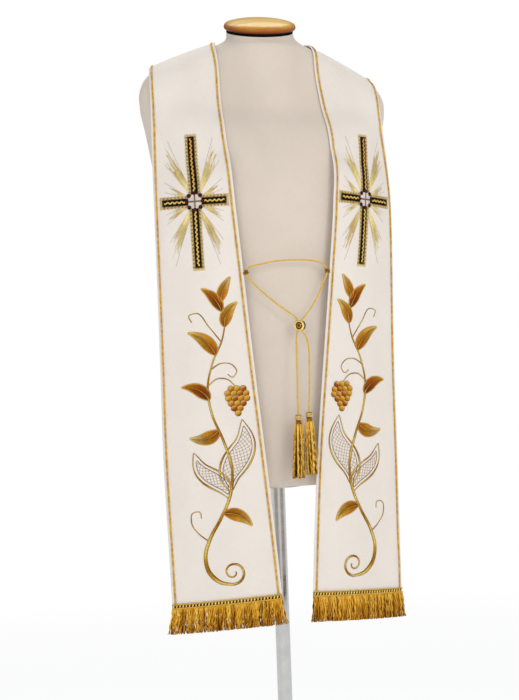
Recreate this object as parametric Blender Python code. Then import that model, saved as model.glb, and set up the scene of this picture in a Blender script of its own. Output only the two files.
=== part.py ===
"""Clerical stole on a limbless dress form.

Frame: +Z up, origin on the floor under the middle of the round base. The front of the
form faces -Y and the wearer's right is -X. Tables and sizes are in millimetres; what
reaches Blender is in metres. The cloth is a wall of thickness CLOTH, worked out from
cross rows of the band: the stations give the row's two edges along the band's length.
"""
import math
from collections import namedtuple

import bpy
import numpy as np

MM = 0.001
GAP = 0.3                      # clearance between pieces that touch
SIDES = {"right": -1, "left": 1}

# ---- stole (mm) ------------------------------------------------------------------------
CLOTH = 2.0                    # wall of the band: face, interlining and lining together
SEAM = 0.3                     # parting at the centre-back seam
REST = 3.0                     # middle of the cloth stands at least this far off the form
HANG_PITCH = 36.0              # spacing of the cross rows where the band hangs straight
INNER_COLUMNS = 5              # cloth cells between the two edge cords
EDGE_CORD = 4.0                # width of the gold cord sewn along each edge
EDGE_CORD_THICK = 1.2
EDGE_CORD_INSET = 4.0          # cloth left outside the edge cord

Station = namedtuple("Station", "run inner_x inner_y inner_z outer_x outer_y outer_z bow")
STATIONS = [
    Station(0, 0, 72, 1524, 0, 112, 1415, 2),             # centre-back seam
    Station(40, 31, 68, 1528, 58, 106, 1424, 2),
    Station(80, 57, 52, 1538, 113, 88, 1447, 2),
    Station(115, 73, 30, 1550, 160, 54, 1481, 2),
    Station(145, 80, 6, 1558, 193, 10, 1505, 2),          # shoulder ridge
    Station(175, 82, -10, 1546, 199, -13, 1488, 2),
    Station(210, 83, -22, 1513, 202, -27, 1455, 3),
    Station(270, 86, -44, 1450, 204, -37, 1397, 4),
    Station(330, 88, -80, 1394, 206, -45, 1341, 6),
    Station(390, 88, -113, 1334, 207, -51, 1284, 7),      # breast
    Station(450, 84, -117, 1272, 207, -52, 1228, 7),
    Station(560, 74, -116, 1162, 206, -51, 1124, 7),      # rings of the tie cord
    Station(700, 61, -113, 1024, 205, -50, 996, 7),
    Station(850, 46, -110, 872, 205, -50, 850, 7),
    Station(980, 35, -108, 742, 203, -50, 724, 7),
    Station(1105, 26, -106, 617, 201, -49, 604, 6),       # hem
]
LENGTH = STATIONS[-1].run      # of one half, from the centre-back seam to the hem
RING_RUN = 565.0               # the thread ring sits here on the inner edge

Zone = namedtuple("Zone", "end pitch")           # cross rows: spacing up to each run's end
HEADING = 9.0                  # height of the fringe's heading, which is the last row of cells
ZONES = [Zone(108, 18), Zone(228, 12), Zone(444, 18), Zone(LENGTH - HEADING, HANG_PITCH)]

Sway = namedtuple("Sway", "run shift")          # how far the band hangs off centre
SWAYS = [Sway(0, 0), Sway(145, -1.5), Sway(450, -1), Sway(850, -2.5), Sway(LENGTH, 0)]
Tilt = namedtuple("Tilt", "z share")            # drop of the wearer's left shoulder, by x
TILTS = [Tilt(1300, 0), Tilt(1375, 0.02), Tilt(1450, 0.04), Tilt(1530, 0.04), Tilt(1569, 0)]

# ---- dress form (mm) -------------------------------------------------------------------
Section = namedtuple("Section", "z half_width front back power neck")
SECTIONS = [
    Section(800, 167, 87, 101, 2.30, 20),
    Section(870, 177, 93, 108, 2.30, 20),
    Section(930, 178, 95, 107, 2.30, 20),
    Section(1000, 170, 98, 98, 2.25, 20),
    Section(1060, 163, 102, 92, 2.20, 20),                # waist
    Section(1120, 165, 105, 93, 2.20, 20),
    Section(1180, 172, 108, 98, 2.20, 20),
    Section(1240, 181, 111, 105, 2.20, 20),
    Section(1300, 190, 112, 111, 2.20, 30),               # chest
    Section(1350, 198, 106, 114, 2.20, 45),
    Section(1400, 207, 86, 112, 2.25, 56),
    Section(1440, 215, 58, 103, 2.35, 60),
    Section(1468, 214, 46, 91, 2.40, 61),                 # shoulder ends
    Section(1492, 199, 39, 76, 2.30, 61),
    Section(1512, 164, 35, 64, 2.10, 61),
    Section(1534, 119, 33, 52, 2.00, 60.5),
    Section(1550, 84, 31, 42, 2.00, 59.5),
    Section(1577, 36, 18, 24, 2.00, 57.0),                # top of the neck
]
FORM_BOTTOM, FORM_TOP = SECTIONS[0].z, SECTIONS[-1].z
NECK_BLEND = 4.5               # how tightly the neck flows into the shoulders
NECK_LEVEL = 1545.0            # above this the neck leans forward to its slanted top
NECK_TOP_AT = (-3.0, 0.0, 1577.0)
NECK_SLANT = math.radians(19.4)
NECK_TURN = math.radians(5.3)  # the slant faces this far to the wearer's right of ahead
FORM_SIDES = 40
FORM_ROWS = 25

# ---- neck cap and stand (mm) -----------------------------------------------------------
RIM_HEIGHT = 4.0
RIM_RADIUS = 57.5
CAP_HEIGHT = 19.2
CAP_RADIUS = 62.0
BASE_RADIUS = 220.0
BASE_THICK = 26.0
BASE_BEVEL = 5.0
BASE_SIDES = 64
POLE_RADIUS = 12.5
POLE_SIDES = 32
FOOT_FLANGE = 38.0             # radius of the pole's flange on the base
HEAD_PLATE = 46.0              # radius of its plate under the torso
PLATE_THICK = 5.0              # of both
ROUND_SIDES = 40               # of the neck cap and its rim

# ---- fringe and cross (mm) -------------------------------------------------------------
HEADING_THICK = 1.4            # of the fringe's woven heading, which covers the last row of cells
FRINGE_DROP = 41.0             # length of the strands below the heading
FRINGE_STRANDS = 50
FRINGE_SPLAY = 6.0             # the outermost strands lean out this far
FRINGE_TAPER = 0.9             # of a strand's section at each of its levels
RIPPLE = 0.4                   # how far the strands weave to and fro
CROSS_AT = (145.5, 1278.0)     # sideways place and height of its middle
CROSS_LEAN = {"right": math.radians(0.8), "left": math.radians(4.4)}   # foot inward
Bend = namedtuple("Bend", "up shift")            # outward shift of the cross, by height on it
CROSS_BENDS = {"right": [Bend(-113, 0), Bend(0, 1.5), Bend(112, 0)],
               "left": [Bend(-113, -3), Bend(0, 0), Bend(112, -1)]}
CROSS_BAR = 20.0               # width of each bar
CROSS_ARM = 58.0               # from the middle to the end of a side arm, along the cloth
CROSS_UP = 112.0
CROSS_DOWN = 113.0
CROSS_ROWS = 8                 # cells of each upright arm, short enough to follow the breast
CROSS_THICK = 1.6
CROSS_OFF = 1.1                # clears the flat facets of the band behind it

# ---- tie cord, rings, slider and tassels (mm) ------------------------------------------
CORD_RADIUS = 1.7
CORD_STEP = 8.5                # spacing of the tube's points, two and a half cord widths
RING_RADIUS = 3.5              # to the middle of the ring's thread
RING_THREAD = 0.8              # radius of that thread
SLIDER_AT = (15.0, -125.0, 1068.0)
SLIDER_TURN = math.radians(40) # its rings look this far to the wearer's right of ahead
HOLE_OFFSET = 4.8              # each hole from the slider's middle
HOLE_RADIUS = CORD_RADIUS + GAP
HOLE_REACH = 15.0              # the cutter of a hole runs this far up and down, clear of the bead
HOLE_CLEAR = 7.6               # the cord runs upright this far from the middle of its hole
TASSEL_TOP = {"right": (7.8, -122.0, 920.5), "left": (26.6, -121.0, 924.5)}
TASSEL_STRANDS = 10            # in each of the two rounds under the head
TASSEL_DROP = 83.0             # length of the strands below the head
TASSEL_HEAD = 22.0             # height of the head
TASSEL_TAPER = 0.95
TASSEL_INNER = 0.62            # the inner round flares to this share of the outer one
TASSEL_FLARE = {"right": 10.6, "left": 9.4}      # radius of the skirt at its end
TASSEL_LEAN = {"right": -3.0, "left": 2.0}       # sideways drift of the skirt's end


# ---- helpers ---------------------------------------------------------------------------
def smooth_lookup(table, keys):
    """Values of the table's other columns at the keys, with smooth slopes between rows."""
    data = np.array(table, dtype=float)
    knots, values = data[:, 0], data[:, 1:]
    keys = np.clip(np.asarray(keys, dtype=float), knots[0], knots[-1])
    step = np.diff(knots)[:, None]
    rise = np.diff(values, axis=0) / step
    slope = np.empty_like(values)
    slope[0], slope[-1] = rise[0], rise[-1]
    slope[1:-1] = (rise[:-1] * step[1:] + rise[1:] * step[:-1]) / (step[1:] + step[:-1])
    low = np.clip(np.searchsorted(knots, keys, side="right") - 1, 0, len(knots) - 2)
    width = step[low]
    t = ((keys - knots[low])[..., None]) / width
    return ((2 * t**3 - 3 * t**2 + 1) * values[low] + (t**3 - 2 * t**2 + t) * width * slope[low]
            + (3 * t**2 - 2 * t**3) * values[low + 1] + (t**3 - t**2) * width * slope[low + 1])


def unit(vectors):
    return vectors / np.linalg.norm(vectors, axis=-1, keepdims=True)


def material(name, colour, roughness, metallic=0.0):
    made = bpy.data.materials.new(name)
    made.use_nodes = True
    shader = made.node_tree.nodes["Principled BSDF"]
    shader.inputs["Base Color"].default_value = (*colour, 1.0)
    shader.inputs["Roughness"].default_value = roughness
    shader.inputs["Metallic"].default_value = metallic
    return made


def add_solid(name, points, faces, look, smooth=True):
    """A mesh object from points in millimetres."""
    mesh = bpy.data.meshes.new(name)
    mesh.from_pydata([tuple(float(c) * MM for c in p) for p in points], [], faces)
    mesh.update()
    if smooth:
        mesh.shade_smooth()
        mesh.set_sharp_from_angle(angle=math.radians(40))
    mesh.materials.append(look)
    thing = bpy.data.objects.new(name, mesh)
    bpy.context.scene.collection.objects.link(thing)
    return thing


def wall(points, normals, near, far, filled=None, flip=False):
    """Closed wall between two offsets of a grid of points; empty cells are left out.

    Returns the points and the faces. near and far are the offsets along the normals."""
    rows, columns = points.shape[:2]
    if filled is None:
        filled = np.ones((rows - 1, columns - 1), dtype=bool)
    back = (points + normals * near).reshape(-1, 3)
    front = (points + normals * far).reshape(-1, 3)
    count = rows * columns
    faces = []
    for i in range(rows - 1):
        for j in range(columns - 1):
            if not filled[i, j]:
                continue
            a, b = i * columns + j, i * columns + j + 1
            c, d = b + columns, a + columns
            faces.append((a + count, b + count, c + count, d + count))
            faces.append((a, d, c, b))
            for open_side, p, q in ((i == 0 or not filled[i - 1, j], a, b),
                                    (j == columns - 2 or not filled[i, j + 1], b, c),
                                    (i == rows - 2 or not filled[i + 1, j], c, d),
                                    (j == 0 or not filled[i, j - 1], d, a)):
                if open_side:
                    faces.append((p, q, q + count, p + count))
    if flip:
        faces = [face[::-1] for face in faces]
    return np.concatenate([back, front]), faces


def drop_unused(points, faces):
    used = sorted({index for face in faces for index in face})
    place = {old: new for new, old in enumerate(used)}
    return [points[index] for index in used], [tuple(place[i] for i in face) for face in faces]


def turned(profile, sides):
    """Solid turned about Z from (radius, height) pairs, listed from the bottom to the top."""
    points, faces, rings = [], [], []
    for radius, height in profile:
        if radius == 0:
            rings.append([len(points)] * sides)
            points.append((0.0, 0.0, height))
            continue
        rings.append([len(points) + k for k in range(sides)])
        for k in range(sides):
            angle = 2 * math.pi * k / sides
            points.append((radius * math.cos(angle), radius * math.sin(angle), height))
    for low, high in zip(rings, rings[1:]):
        for k in range(sides):
            corners = [low[k], low[(k + 1) % sides], high[(k + 1) % sides], high[k]]
            face = tuple(dict.fromkeys(corners))
            if len(face) > 2:
                faces.append(face)
    return points, faces


def smooth_route(route, step):
    """Points spaced along a smooth curve through the route, ends included."""
    route = np.array(route, dtype=float)
    run = np.concatenate([[0], np.cumsum(np.linalg.norm(np.diff(route, axis=0), axis=1))])
    table = np.column_stack([run, route])
    fine = smooth_lookup(table, np.linspace(0, run[-1], 40 * len(route)))
    along = np.concatenate([[0], np.cumsum(np.linalg.norm(np.diff(fine, axis=0), axis=1))])
    marks = np.linspace(0, along[-1], max(3, round(along[-1] / step) + 1))
    return np.column_stack([np.interp(marks, along, fine[:, k]) for k in range(3)])


# ---- the form's surface, which the band keeps clear of -------------------------------------
def form_radius(angle, z):
    half_width, front, back, power, neck = np.moveaxis(smooth_lookup(SECTIONS, z), -1, 0)
    depth = np.where(np.sin(angle) < 0, front, back)
    body = (np.abs(np.cos(angle) / half_width) ** power
            + np.abs(np.sin(angle) / depth) ** power) ** (-1 / power)
    return (neck**NECK_BLEND + body**NECK_BLEND) ** (1 / NECK_BLEND)


def beyond_form(points):
    x, y, z = points[..., 0], points[..., 1], points[..., 2]
    return np.hypot(x, y) - form_radius(np.arctan2(y, x), z)


def stand_off(points, clear):
    """Moves the points that lie closer to the form than clear straight out to it."""
    reach = 0.5
    for _ in range(6):
        slope = np.stack([(beyond_form(points + axis) - beyond_form(points - axis)) / (2 * reach)
                          for axis in np.eye(3) * reach], axis=-1)
        steep = np.linalg.norm(slope, axis=-1, keepdims=True)
        distance = beyond_form(points)[..., None] / steep
        points = points + slope / steep * np.maximum(0, clear - distance)
    return points


def tilted(points):
    moved = np.array(points, dtype=float)
    moved[..., 2] -= moved[..., 0] * smooth_lookup(TILTS, moved[..., 2])[..., 0]
    return moved


# ---- the band's surface --------------------------------------------------------------------
def band_points(side, run, share):
    """Middle of the cloth at a run along the band and a share across it, 0 at the inner edge."""
    def edges_at(where):
        row = smooth_lookup(STATIONS, where)
        return row[..., 0:3], row[..., 3:6], row[..., 6]
    inner, outer, bow = edges_at(run)
    ahead, behind = edges_at(run + 1), edges_at(run - 1)
    along = (ahead[0] + ahead[1]) - (behind[0] + behind[1])
    out = unit(np.cross(along, outer - inner))
    share = share[..., None]
    points = inner * (1 - share) + outer * share
    points = points + out * bow[..., None] * 4 * share * (1 - share)
    points = stand_off(points, REST)
    points[..., 0] *= side
    points = tilted(points)
    points[..., 0] += smooth_lookup(SWAYS, run)[..., 0] * np.clip(run / SWAYS[1].run, 0, 1)
    return points


def band(side, run, share):
    """Points of the band and the cloth's outward normals there."""
    run, share = np.broadcast_arrays(np.asarray(run, float), np.asarray(share, float))
    along = (band_points(side, np.minimum(run + 2, LENGTH), share)
             - band_points(side, np.maximum(run - 2, 0), share))
    across = band_points(side, run, share + 0.01) - band_points(side, run, share - 0.01)
    return band_points(side, run, share), unit(np.cross(along, across)) * side


def band_width(run):
    row = smooth_lookup(STATIONS, run)
    return np.linalg.norm(row[..., 3:6] - row[..., 0:3], axis=-1)


def band_at(side, x, z):
    """Points and normals of the hanging front at sideways places x and heights z."""
    run, share = LENGTH + STATIONS[-1].inner_z - z, np.full_like(x, 0.5)
    for _ in range(12):
        points = band_points(side, run, share)
        run = run + (points[..., 2] - z)
        share = share + (x * side - points[..., 0] * side) / band_width(run)
    return band(side, run, share)


def band_runs():
    runs = [0.0]
    for zone in ZONES:
        start = runs[-1]
        steps = round((zone.end - start) / zone.pitch)
        runs.extend(start + (zone.end - start) * (k + 1) / steps for k in range(steps))
    return np.array(runs + [LENGTH])


def band_grid(side):
    """Grid of the half: columns at both sides of each edge cord and evenly between them."""
    runs = band_runs()
    width = band_width(runs)[:, None]
    near = np.array([0, EDGE_CORD_INSET, EDGE_CORD_INSET + EDGE_CORD]) / width
    middle = np.linspace(0, 1, INNER_COLUMNS + 1)[1:-1]
    start = near[:, 2:3]
    shares = np.hstack([near, start + (1 - 2 * start) * middle, 1 - near[:, ::-1]])
    points, normals = band(side, np.repeat(runs[:, None], shares.shape[1], axis=1), shares)
    return points, normals


def close_at_seam(points, columns, side):
    """Squares the row at the centre-back seam off, half the parting from the middle plane."""
    count = len(points) // 2
    for start in (0, count):
        points[start:start + columns, 0] = side * SEAM / 2
    return points


# ---- stole ------------------------------------------------------------------------------------
def build_half(label, side, cloth):
    points, normals = band_grid(side)
    shell, faces = wall(points, normals, -CLOTH / 2, CLOTH / 2, flip=side > 0)
    shell = close_at_seam(shell, points.shape[1], side)
    add_solid(f"stole_{label}", shell, faces, cloth)
    return points, normals


def build_edge_cords(label, side, points, normals, gold):
    """Each edge cord lies on the band's own cells, moved out, and stops at the heading."""
    last = points.shape[1] - 1
    back_off = GAP / HANG_PITCH
    for place, first in (("inner", 1), ("outer", last - 2)):
        strip, lift = points[:-1, first:first + 2].copy(), normals[:-1, first:first + 2].copy()
        strip[-1] += (strip[-2] - strip[-1]) * back_off
        lift[-1] += (lift[-2] - lift[-1]) * back_off
        near = CLOTH / 2 + GAP
        shell, faces = wall(strip, lift, near, near + EDGE_CORD_THICK, flip=side > 0)
        shell = close_at_seam(shell, 2, side)
        add_solid(f"edge_cord_{place}_{label}", shell, faces, gold)


def build_fringe(label, side, points, normals, gold):
    """Heading over the hem, with a strand drawn down from every other cell of its lower edge."""
    cells = 2 * FRINGE_STRANDS
    edge = np.linalg.norm(np.diff(points[-1], axis=0), axis=1)
    places = np.concatenate([[0], np.cumsum(edge)]) / edge.sum()
    spread = np.linspace(0, 1, cells + 1)
    rows = [np.column_stack([np.interp(spread, places, row[:, k]) for k in range(3)])
            for row in (points[-2], points[-1])]
    lifts = [unit(np.column_stack([np.interp(spread, places, row[:, k]) for k in range(3)]))
             for row in (normals[-2], normals[-1])]
    near = CLOTH / 2 + GAP
    shell, faces = wall(np.array(rows), np.array(lifts), near, near + HEADING_THICK)
    shell = [tuple(point) for point in shell]
    count = 2 * (cells + 1)
    lower_edge = cells + 1
    for strand in range(FRINGE_STRANDS):
        a = lower_edge + 2 * strand
        root = [a, a + 1, a + 1 + count, a + count]
        faces.remove((a + 1, a, a + count, a + 1 + count))
        share = (strand + 0.5) / FRINGE_STRANDS * 2 - 1
        ripple = math.sin(2.4 * strand) * RIPPLE
        splay = side * FRINGE_SPLAY * share**5
        drop = FRINGE_DROP * (0.97 + 0.03 * math.cos(1.7 * strand))
        levels = [(splay * 0.35 + ripple, -ripple, -drop * 0.5), (splay, ripple, -drop)]
        add_strand(shell, faces, root, levels, FRINGE_TAPER)
    if side > 0:
        faces = [face[::-1] for face in faces]
    add_solid(f"fringe_{label}", shell, faces, gold, smooth=False)


def add_strand(shell, faces, root, levels, taper):
    """Four-sided strand from a root face through offsets of it, closed at its end."""
    corners = [np.array(shell[index]) for index in root]
    middle = sum(corners) / 4
    ring = root
    for level, offset in enumerate(levels, start=1):
        scale = taper**level
        lower = [len(shell) + k for k in range(4)]
        shell.extend(tuple(middle + (corner - middle) * scale + np.array(offset))
                     for corner in corners)
        for k in range(4):
            faces.append((ring[(k + 1) % 4], ring[k], lower[k], lower[(k + 1) % 4]))
        ring = lower
    faces.append(tuple(ring[::-1]))


def build_cross(label, side, thread):
    """Latin cross whose cells follow the band, with its bars squared to its own lean."""
    half = CROSS_BAR / 2
    across = np.array([-CROSS_ARM, -CROSS_ARM / 2, -half, half, CROSS_ARM / 2, CROSS_ARM])
    upper = np.linspace(half, CROSS_UP, CROSS_ROWS + 1)
    lower = np.linspace(-CROSS_DOWN, -half, CROSS_ROWS + 1)
    heights = np.concatenate([upper[::-1], lower[::-1]])
    x, z = np.meshgrid(across, heights)
    filled = np.zeros((len(heights) - 1, len(across) - 1), dtype=bool)
    filled[:, 2] = True
    filled[CROSS_ROWS, :] = True
    row = smooth_lookup(STATIONS, LENGTH + STATIONS[-1].inner_z - CROSS_AT[1])
    sideways = (row[3] - row[0]) / math.hypot(row[3] - row[0], row[4] - row[1])
    lean = CROSS_LEAN[label]
    bend = np.polyval(np.polyfit(*zip(*CROSS_BENDS[label]), 2), z)
    turned_x = x * sideways * math.cos(lean) + z * math.sin(lean) + bend
    turned_z = z * math.cos(lean) - x * math.sin(lean)
    points, normals = band_at(side, side * (CROSS_AT[0] + turned_x), CROSS_AT[1] + turned_z)
    near = CLOTH / 2 + CROSS_OFF
    shell, faces = wall(points, normals, near, near + CROSS_THICK, filled, flip=side > 0)
    shell, faces = drop_unused(shell, faces)
    add_solid(f"cross_{label}", shell, faces, thread, smooth=False)


# ---- tie cord ------------------------------------------------------------------------------------
def ring_middle(side):
    edge = band_points(side, np.array([RING_RUN]), np.array([0.0]))[0]
    within = band_points(side, np.array([RING_RUN]), np.array([0.1]))[0]
    outward = unit(edge - within)
    return edge + outward * (RING_RADIUS + RING_THREAD + GAP)


def build_rings(gold):
    steps, section = 14, 6
    for label, side in SIDES.items():
        middle = ring_middle(side)
        points, faces = [], []
        for i in range(steps):
            for j in range(section):
                turn, roll = 2 * math.pi * i / steps, 2 * math.pi * j / section
                radius = RING_RADIUS + RING_THREAD * math.cos(roll)
                points.append((middle[0] + radius * math.cos(turn),
                               middle[1] + radius * math.sin(turn),
                               middle[2] + RING_THREAD * math.sin(roll)))
                i_next, j_next = (i + 1) % steps, (j + 1) % section
                faces.append((i * section + j, i_next * section + j,
                              i_next * section + j_next, i * section + j_next))
        add_solid(f"cord_ring_{label}", points, faces, gold)


def hole_middle(side):
    """Middle of the slider's hole for the cord on that side."""
    across = np.array([math.cos(SLIDER_TURN), -math.sin(SLIDER_TURN), 0.0])
    return np.array(SLIDER_AT) + across * HOLE_OFFSET * side


def add_tube(name, route, gold):
    curve = bpy.data.curves.new(name, "CURVE")
    curve.dimensions = "3D"
    curve.bevel_depth = CORD_RADIUS * MM
    curve.bevel_resolution = 2
    curve.use_fill_caps = True
    places = smooth_route(route, CORD_STEP)
    spline = curve.splines.new("POLY")
    spline.points.add(len(places) - 1)
    for point, place in zip(spline.points, places):
        point.co = (*(float(c) * MM for c in place), 1.0)
    curve.materials.append(gold)
    bpy.context.scene.collection.objects.link(bpy.data.objects.new(name, curve))


def cord_routes():
    """Route of each stretch: round through both rings, then the two tails."""
    right_ring, left_ring = ring_middle(-1), ring_middle(1)
    right_hole, left_hole = hole_middle(-1), hole_middle(1)
    start, clear, out = (np.array([0, 0, height])
                         for height in (GAP / 2, HOLE_CLEAR, HOLE_CLEAR + CORD_RADIUS))
    loop = [right_hole + start, right_hole + clear, right_hole + out,
            (8.4, -121.8, 1082.4), (-4, -121.6, 1091.6), (-26, -121, 1108.4), (-50, -120, 1129.8),
            (-62, -118.8, 1142), (-69.4, -117.5, 1152.2),
            right_ring,
            (-66.8, -118.2, 1165.4), (-58, -120.2, 1168.6), (-45, -122, 1171.2),
            (-18, -124, 1175.6), (14, -124, 1176.6), (44, -122, 1174.4), (57, -119.8, 1171.2),
            (64.4, -118, 1166),
            left_ring,
            (66.4, -117.6, 1151.6), (60.6, -118.8, 1140), (53.4, -120.4, 1125.4),
            (44.6, -122.6, 1109.6), (34, -125, 1094.4), (23.4, -127.2, 1082.8),
            left_hole + out, left_hole + clear, left_hole + start]
    right_end, left_end = (np.array(TASSEL_TOP[label]) + (0, 0, GAP) for label in SIDES)
    right_tail = [right_hole - start, right_hole - clear, right_hole - out,
                  (9.6, -122, 1050), (8.7, -122.6, 1030), (8.5, -122.8, 1000), (8, -122.4, 960),
                  right_end]
    left_tail = [left_hole - start, left_hole - clear, left_hole - out,
                 (23.4, -127, 1051.4), (27.6, -125.4, 1040), (29.6, -123.8, 1026),
                 (29.8, -122.4, 1000), (28.6, -121.4, 960), left_end]
    return {"tie_loop": loop, "tie_tail_right": right_tail, "tie_tail_left": left_tail}


def build_cord(gold):
    for name, route in cord_routes().items():
        add_tube(name, route, gold)


def build_slider(brass):
    """Turned bead with rings on its near face, a groove round it and two upright holes."""
    profile = [(0, -3.6), (1.8, -3.6), (2.3, -4.8), (3.8, -4.8), (4.6, -3.6), (5.4, -3.6),
               (6.6, -5.0), (8.3, -5.0), (9.2, -3.9), (9.2, -1.0), (8.0, 0.2), (8.0, 1.6),
               (8.9, 2.4), (8.9, 4.2), (8.0, 5.0), (0, 5.0)]
    points, faces = turned(profile, 20)
    slider = add_solid("cord_slider", points, faces, brass)
    slider.rotation_euler = (math.radians(-90), 0, -SLIDER_TURN)
    slider.location = tuple(c * MM for c in SLIDER_AT)
    for label, side in SIDES.items():
        points, faces = turned([(0, -HOLE_REACH), (HOLE_RADIUS, -HOLE_REACH),
                                (HOLE_RADIUS, HOLE_REACH), (0, HOLE_REACH)], 12)
        cutter = add_solid(f"slider_hole_{label}", points, faces, brass)
        cutter.location = tuple(float(c) * MM for c in hole_middle(side))
        cutter.hide_render = True
        cutter.display_type = "WIRE"
        cut = slider.modifiers.new(f"hole_{label}", "BOOLEAN")
        cut.object = cutter
        cut.operation = "DIFFERENCE"


def build_tassel(label, gold):
    """Bound head with two rounds of strands drawn down from the cells of its flat underside."""
    sides = 2 * TASSEL_STRANDS
    profile = [(0, -TASSEL_HEAD), (2.4, -TASSEL_HEAD), (4.8, -TASSEL_HEAD), (7.6, -TASSEL_HEAD),
               (8.2, -18.0), (7.4, -13.5), (5.0, -10.2), (6.2, -7.6), (6.4, -2.0), (5.0, 0.0),
               (0, 0.0)]
    points, faces = turned(profile, sides)
    shell = [tuple(point) for point in points]
    flare = TASSEL_FLARE[label]
    for round_index, (low, start) in enumerate(((1, 0), (1 + sides, 1))):
        for strand in range(TASSEL_STRANDS):
            k = 2 * strand + start
            after = (k + 1) % sides
            inner, outer = low, low + sides
            root_face = (inner + k, inner + after, outer + after, outer + k)
            faces.remove(root_face)
            middle = sum(np.array(shell[index]) for index in root_face) / 4
            heading = unit(middle * (1, 1, 0))
            reach = flare * (1 if round_index else TASSEL_INNER) - np.linalg.norm(middle[:2])
            wave = RIPPLE * math.sin(2.1 * strand + round_index)
            drift = np.array([TASSEL_LEAN[label], 0, 0])
            drop = TASSEL_DROP * (0.98 + 0.02 * math.cos(3.1 * strand + round_index))
            levels = [heading * (reach * 0.75 + wave) + drift * 0.4 + (0, 0, -drop * 0.45),
                      heading * reach + drift + (0, 0, -drop)]
            add_strand(shell, faces, list(root_face[::-1]), levels, TASSEL_TAPER)
    top = np.array(TASSEL_TOP[label])
    add_solid(f"tassel_{label}", [np.array(p) + top for p in shell], faces, gold)


# ---- dress form -------------------------------------------------------------------------------------
def build_form(jersey):
    """Covered torso and neck, lofted through level rings, flat at the bottom and the top."""
    share = np.linspace(0, 1, FORM_ROWS + 1)
    heights = FORM_BOTTOM + (FORM_TOP - FORM_BOTTOM) * (1 - (1 - share) ** 1.35)
    angles = np.linspace(0, 2 * math.pi, FORM_SIDES, endpoint=False)
    turn, height = np.meshgrid(angles, heights)
    around = np.stack([np.cos(turn), np.sin(turn), np.zeros_like(turn)], axis=-1)
    facing = np.array([-math.sin(NECK_TURN), -math.cos(NECK_TURN), 0])
    beside = np.array([math.cos(NECK_TURN), -math.sin(NECK_TURN), 0])
    downhill = facing * math.cos(NECK_SLANT) + np.array([0, 0, -math.sin(NECK_SLANT)])
    top = np.array(NECK_TOP_AT) + RIM_RADIUS * ((around @ beside)[..., None] * beside
                                                + (around @ facing)[..., None] * downhill)
    rise = np.clip((height - NECK_LEVEL) / (FORM_TOP - NECK_LEVEL), 0, 1)
    height = np.where(rise > 0, NECK_LEVEL + (top[..., 2] - NECK_LEVEL) * rise, height)
    rings = around * form_radius(turn, height)[..., None]
    rings[..., 2] = height
    rings = tilted(rings)
    ease = (rise**2 * (3 - 2 * rise))[..., None]
    rings[..., :2] = rings[..., :2] * (1 - ease) + top[..., :2] * ease
    rings[-1, :, 2] = top[-1, :, 2]
    faces = [tuple(range(FORM_SIDES))[::-1]]
    for i in range(FORM_ROWS):
        for j in range(FORM_SIDES):
            after = (j + 1) % FORM_SIDES
            a, b = i * FORM_SIDES + j, i * FORM_SIDES + after
            faces.append((a, b, b + FORM_SIDES, a + FORM_SIDES))
    faces.append(tuple(FORM_ROWS * FORM_SIDES + j for j in range(FORM_SIDES)))
    add_solid("form_torso", rings.reshape(-1, 3), faces, jersey)


def stand_on_neck(thing, height):
    """Places a piece turned about Z on the slanted top of the neck, height above it."""
    thing.rotation_euler = (NECK_SLANT, 0, -NECK_TURN)
    axis = (-math.sin(NECK_TURN) * math.sin(NECK_SLANT),
            -math.cos(NECK_TURN) * math.sin(NECK_SLANT), math.cos(NECK_SLANT))
    thing.location = tuple((c + a * height) * MM for c, a in zip(NECK_TOP_AT, axis))


def build_neck_cap(wood, dark):
    points, faces = turned([(0, 0), (RIM_RADIUS, 0), (RIM_RADIUS, RIM_HEIGHT),
                            (0, RIM_HEIGHT)], ROUND_SIDES)
    stand_on_neck(add_solid("neck_rim", points, faces, dark), GAP)
    shape = [(0, 0), (CAP_RADIUS - 4.5, 0), (CAP_RADIUS - 1.2, 0.09), (CAP_RADIUS, 0.245),
             (CAP_RADIUS - 0.8, 0.42), (CAP_RADIUS - 2.5, 0.555), (CAP_RADIUS - 6, 0.65),
             (CAP_RADIUS - 13, 0.76), (CAP_RADIUS - 22, 0.86), (CAP_RADIUS - 33, 0.945),
             (CAP_RADIUS - 46, 0.99), (0, 1)]
    profile = [(radius, share * CAP_HEIGHT) for radius, share in shape]
    points, faces = turned(profile, ROUND_SIDES)
    stand_on_neck(add_solid("neck_cap", points, faces, wood), RIM_HEIGHT + 2 * GAP)


def build_stand(wood, steel):
    points, faces = turned([(0, 0), (BASE_RADIUS, 0), (BASE_RADIUS, BASE_THICK - BASE_BEVEL),
                            (BASE_RADIUS - BASE_BEVEL, BASE_THICK), (0, BASE_THICK)], BASE_SIDES)
    add_solid("form_base", points, faces, wood)
    foot, head = BASE_THICK + GAP, FORM_BOTTOM - GAP
    points, faces = turned([(0, foot), (FOOT_FLANGE, foot), (FOOT_FLANGE, foot + PLATE_THICK),
                            (POLE_RADIUS, foot + PLATE_THICK), (POLE_RADIUS, head - PLATE_THICK),
                            (HEAD_PLATE, head - PLATE_THICK), (HEAD_PLATE, head), (0, head)],
                           POLE_SIDES)
    add_solid("form_pole", points, faces, steel)


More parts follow.
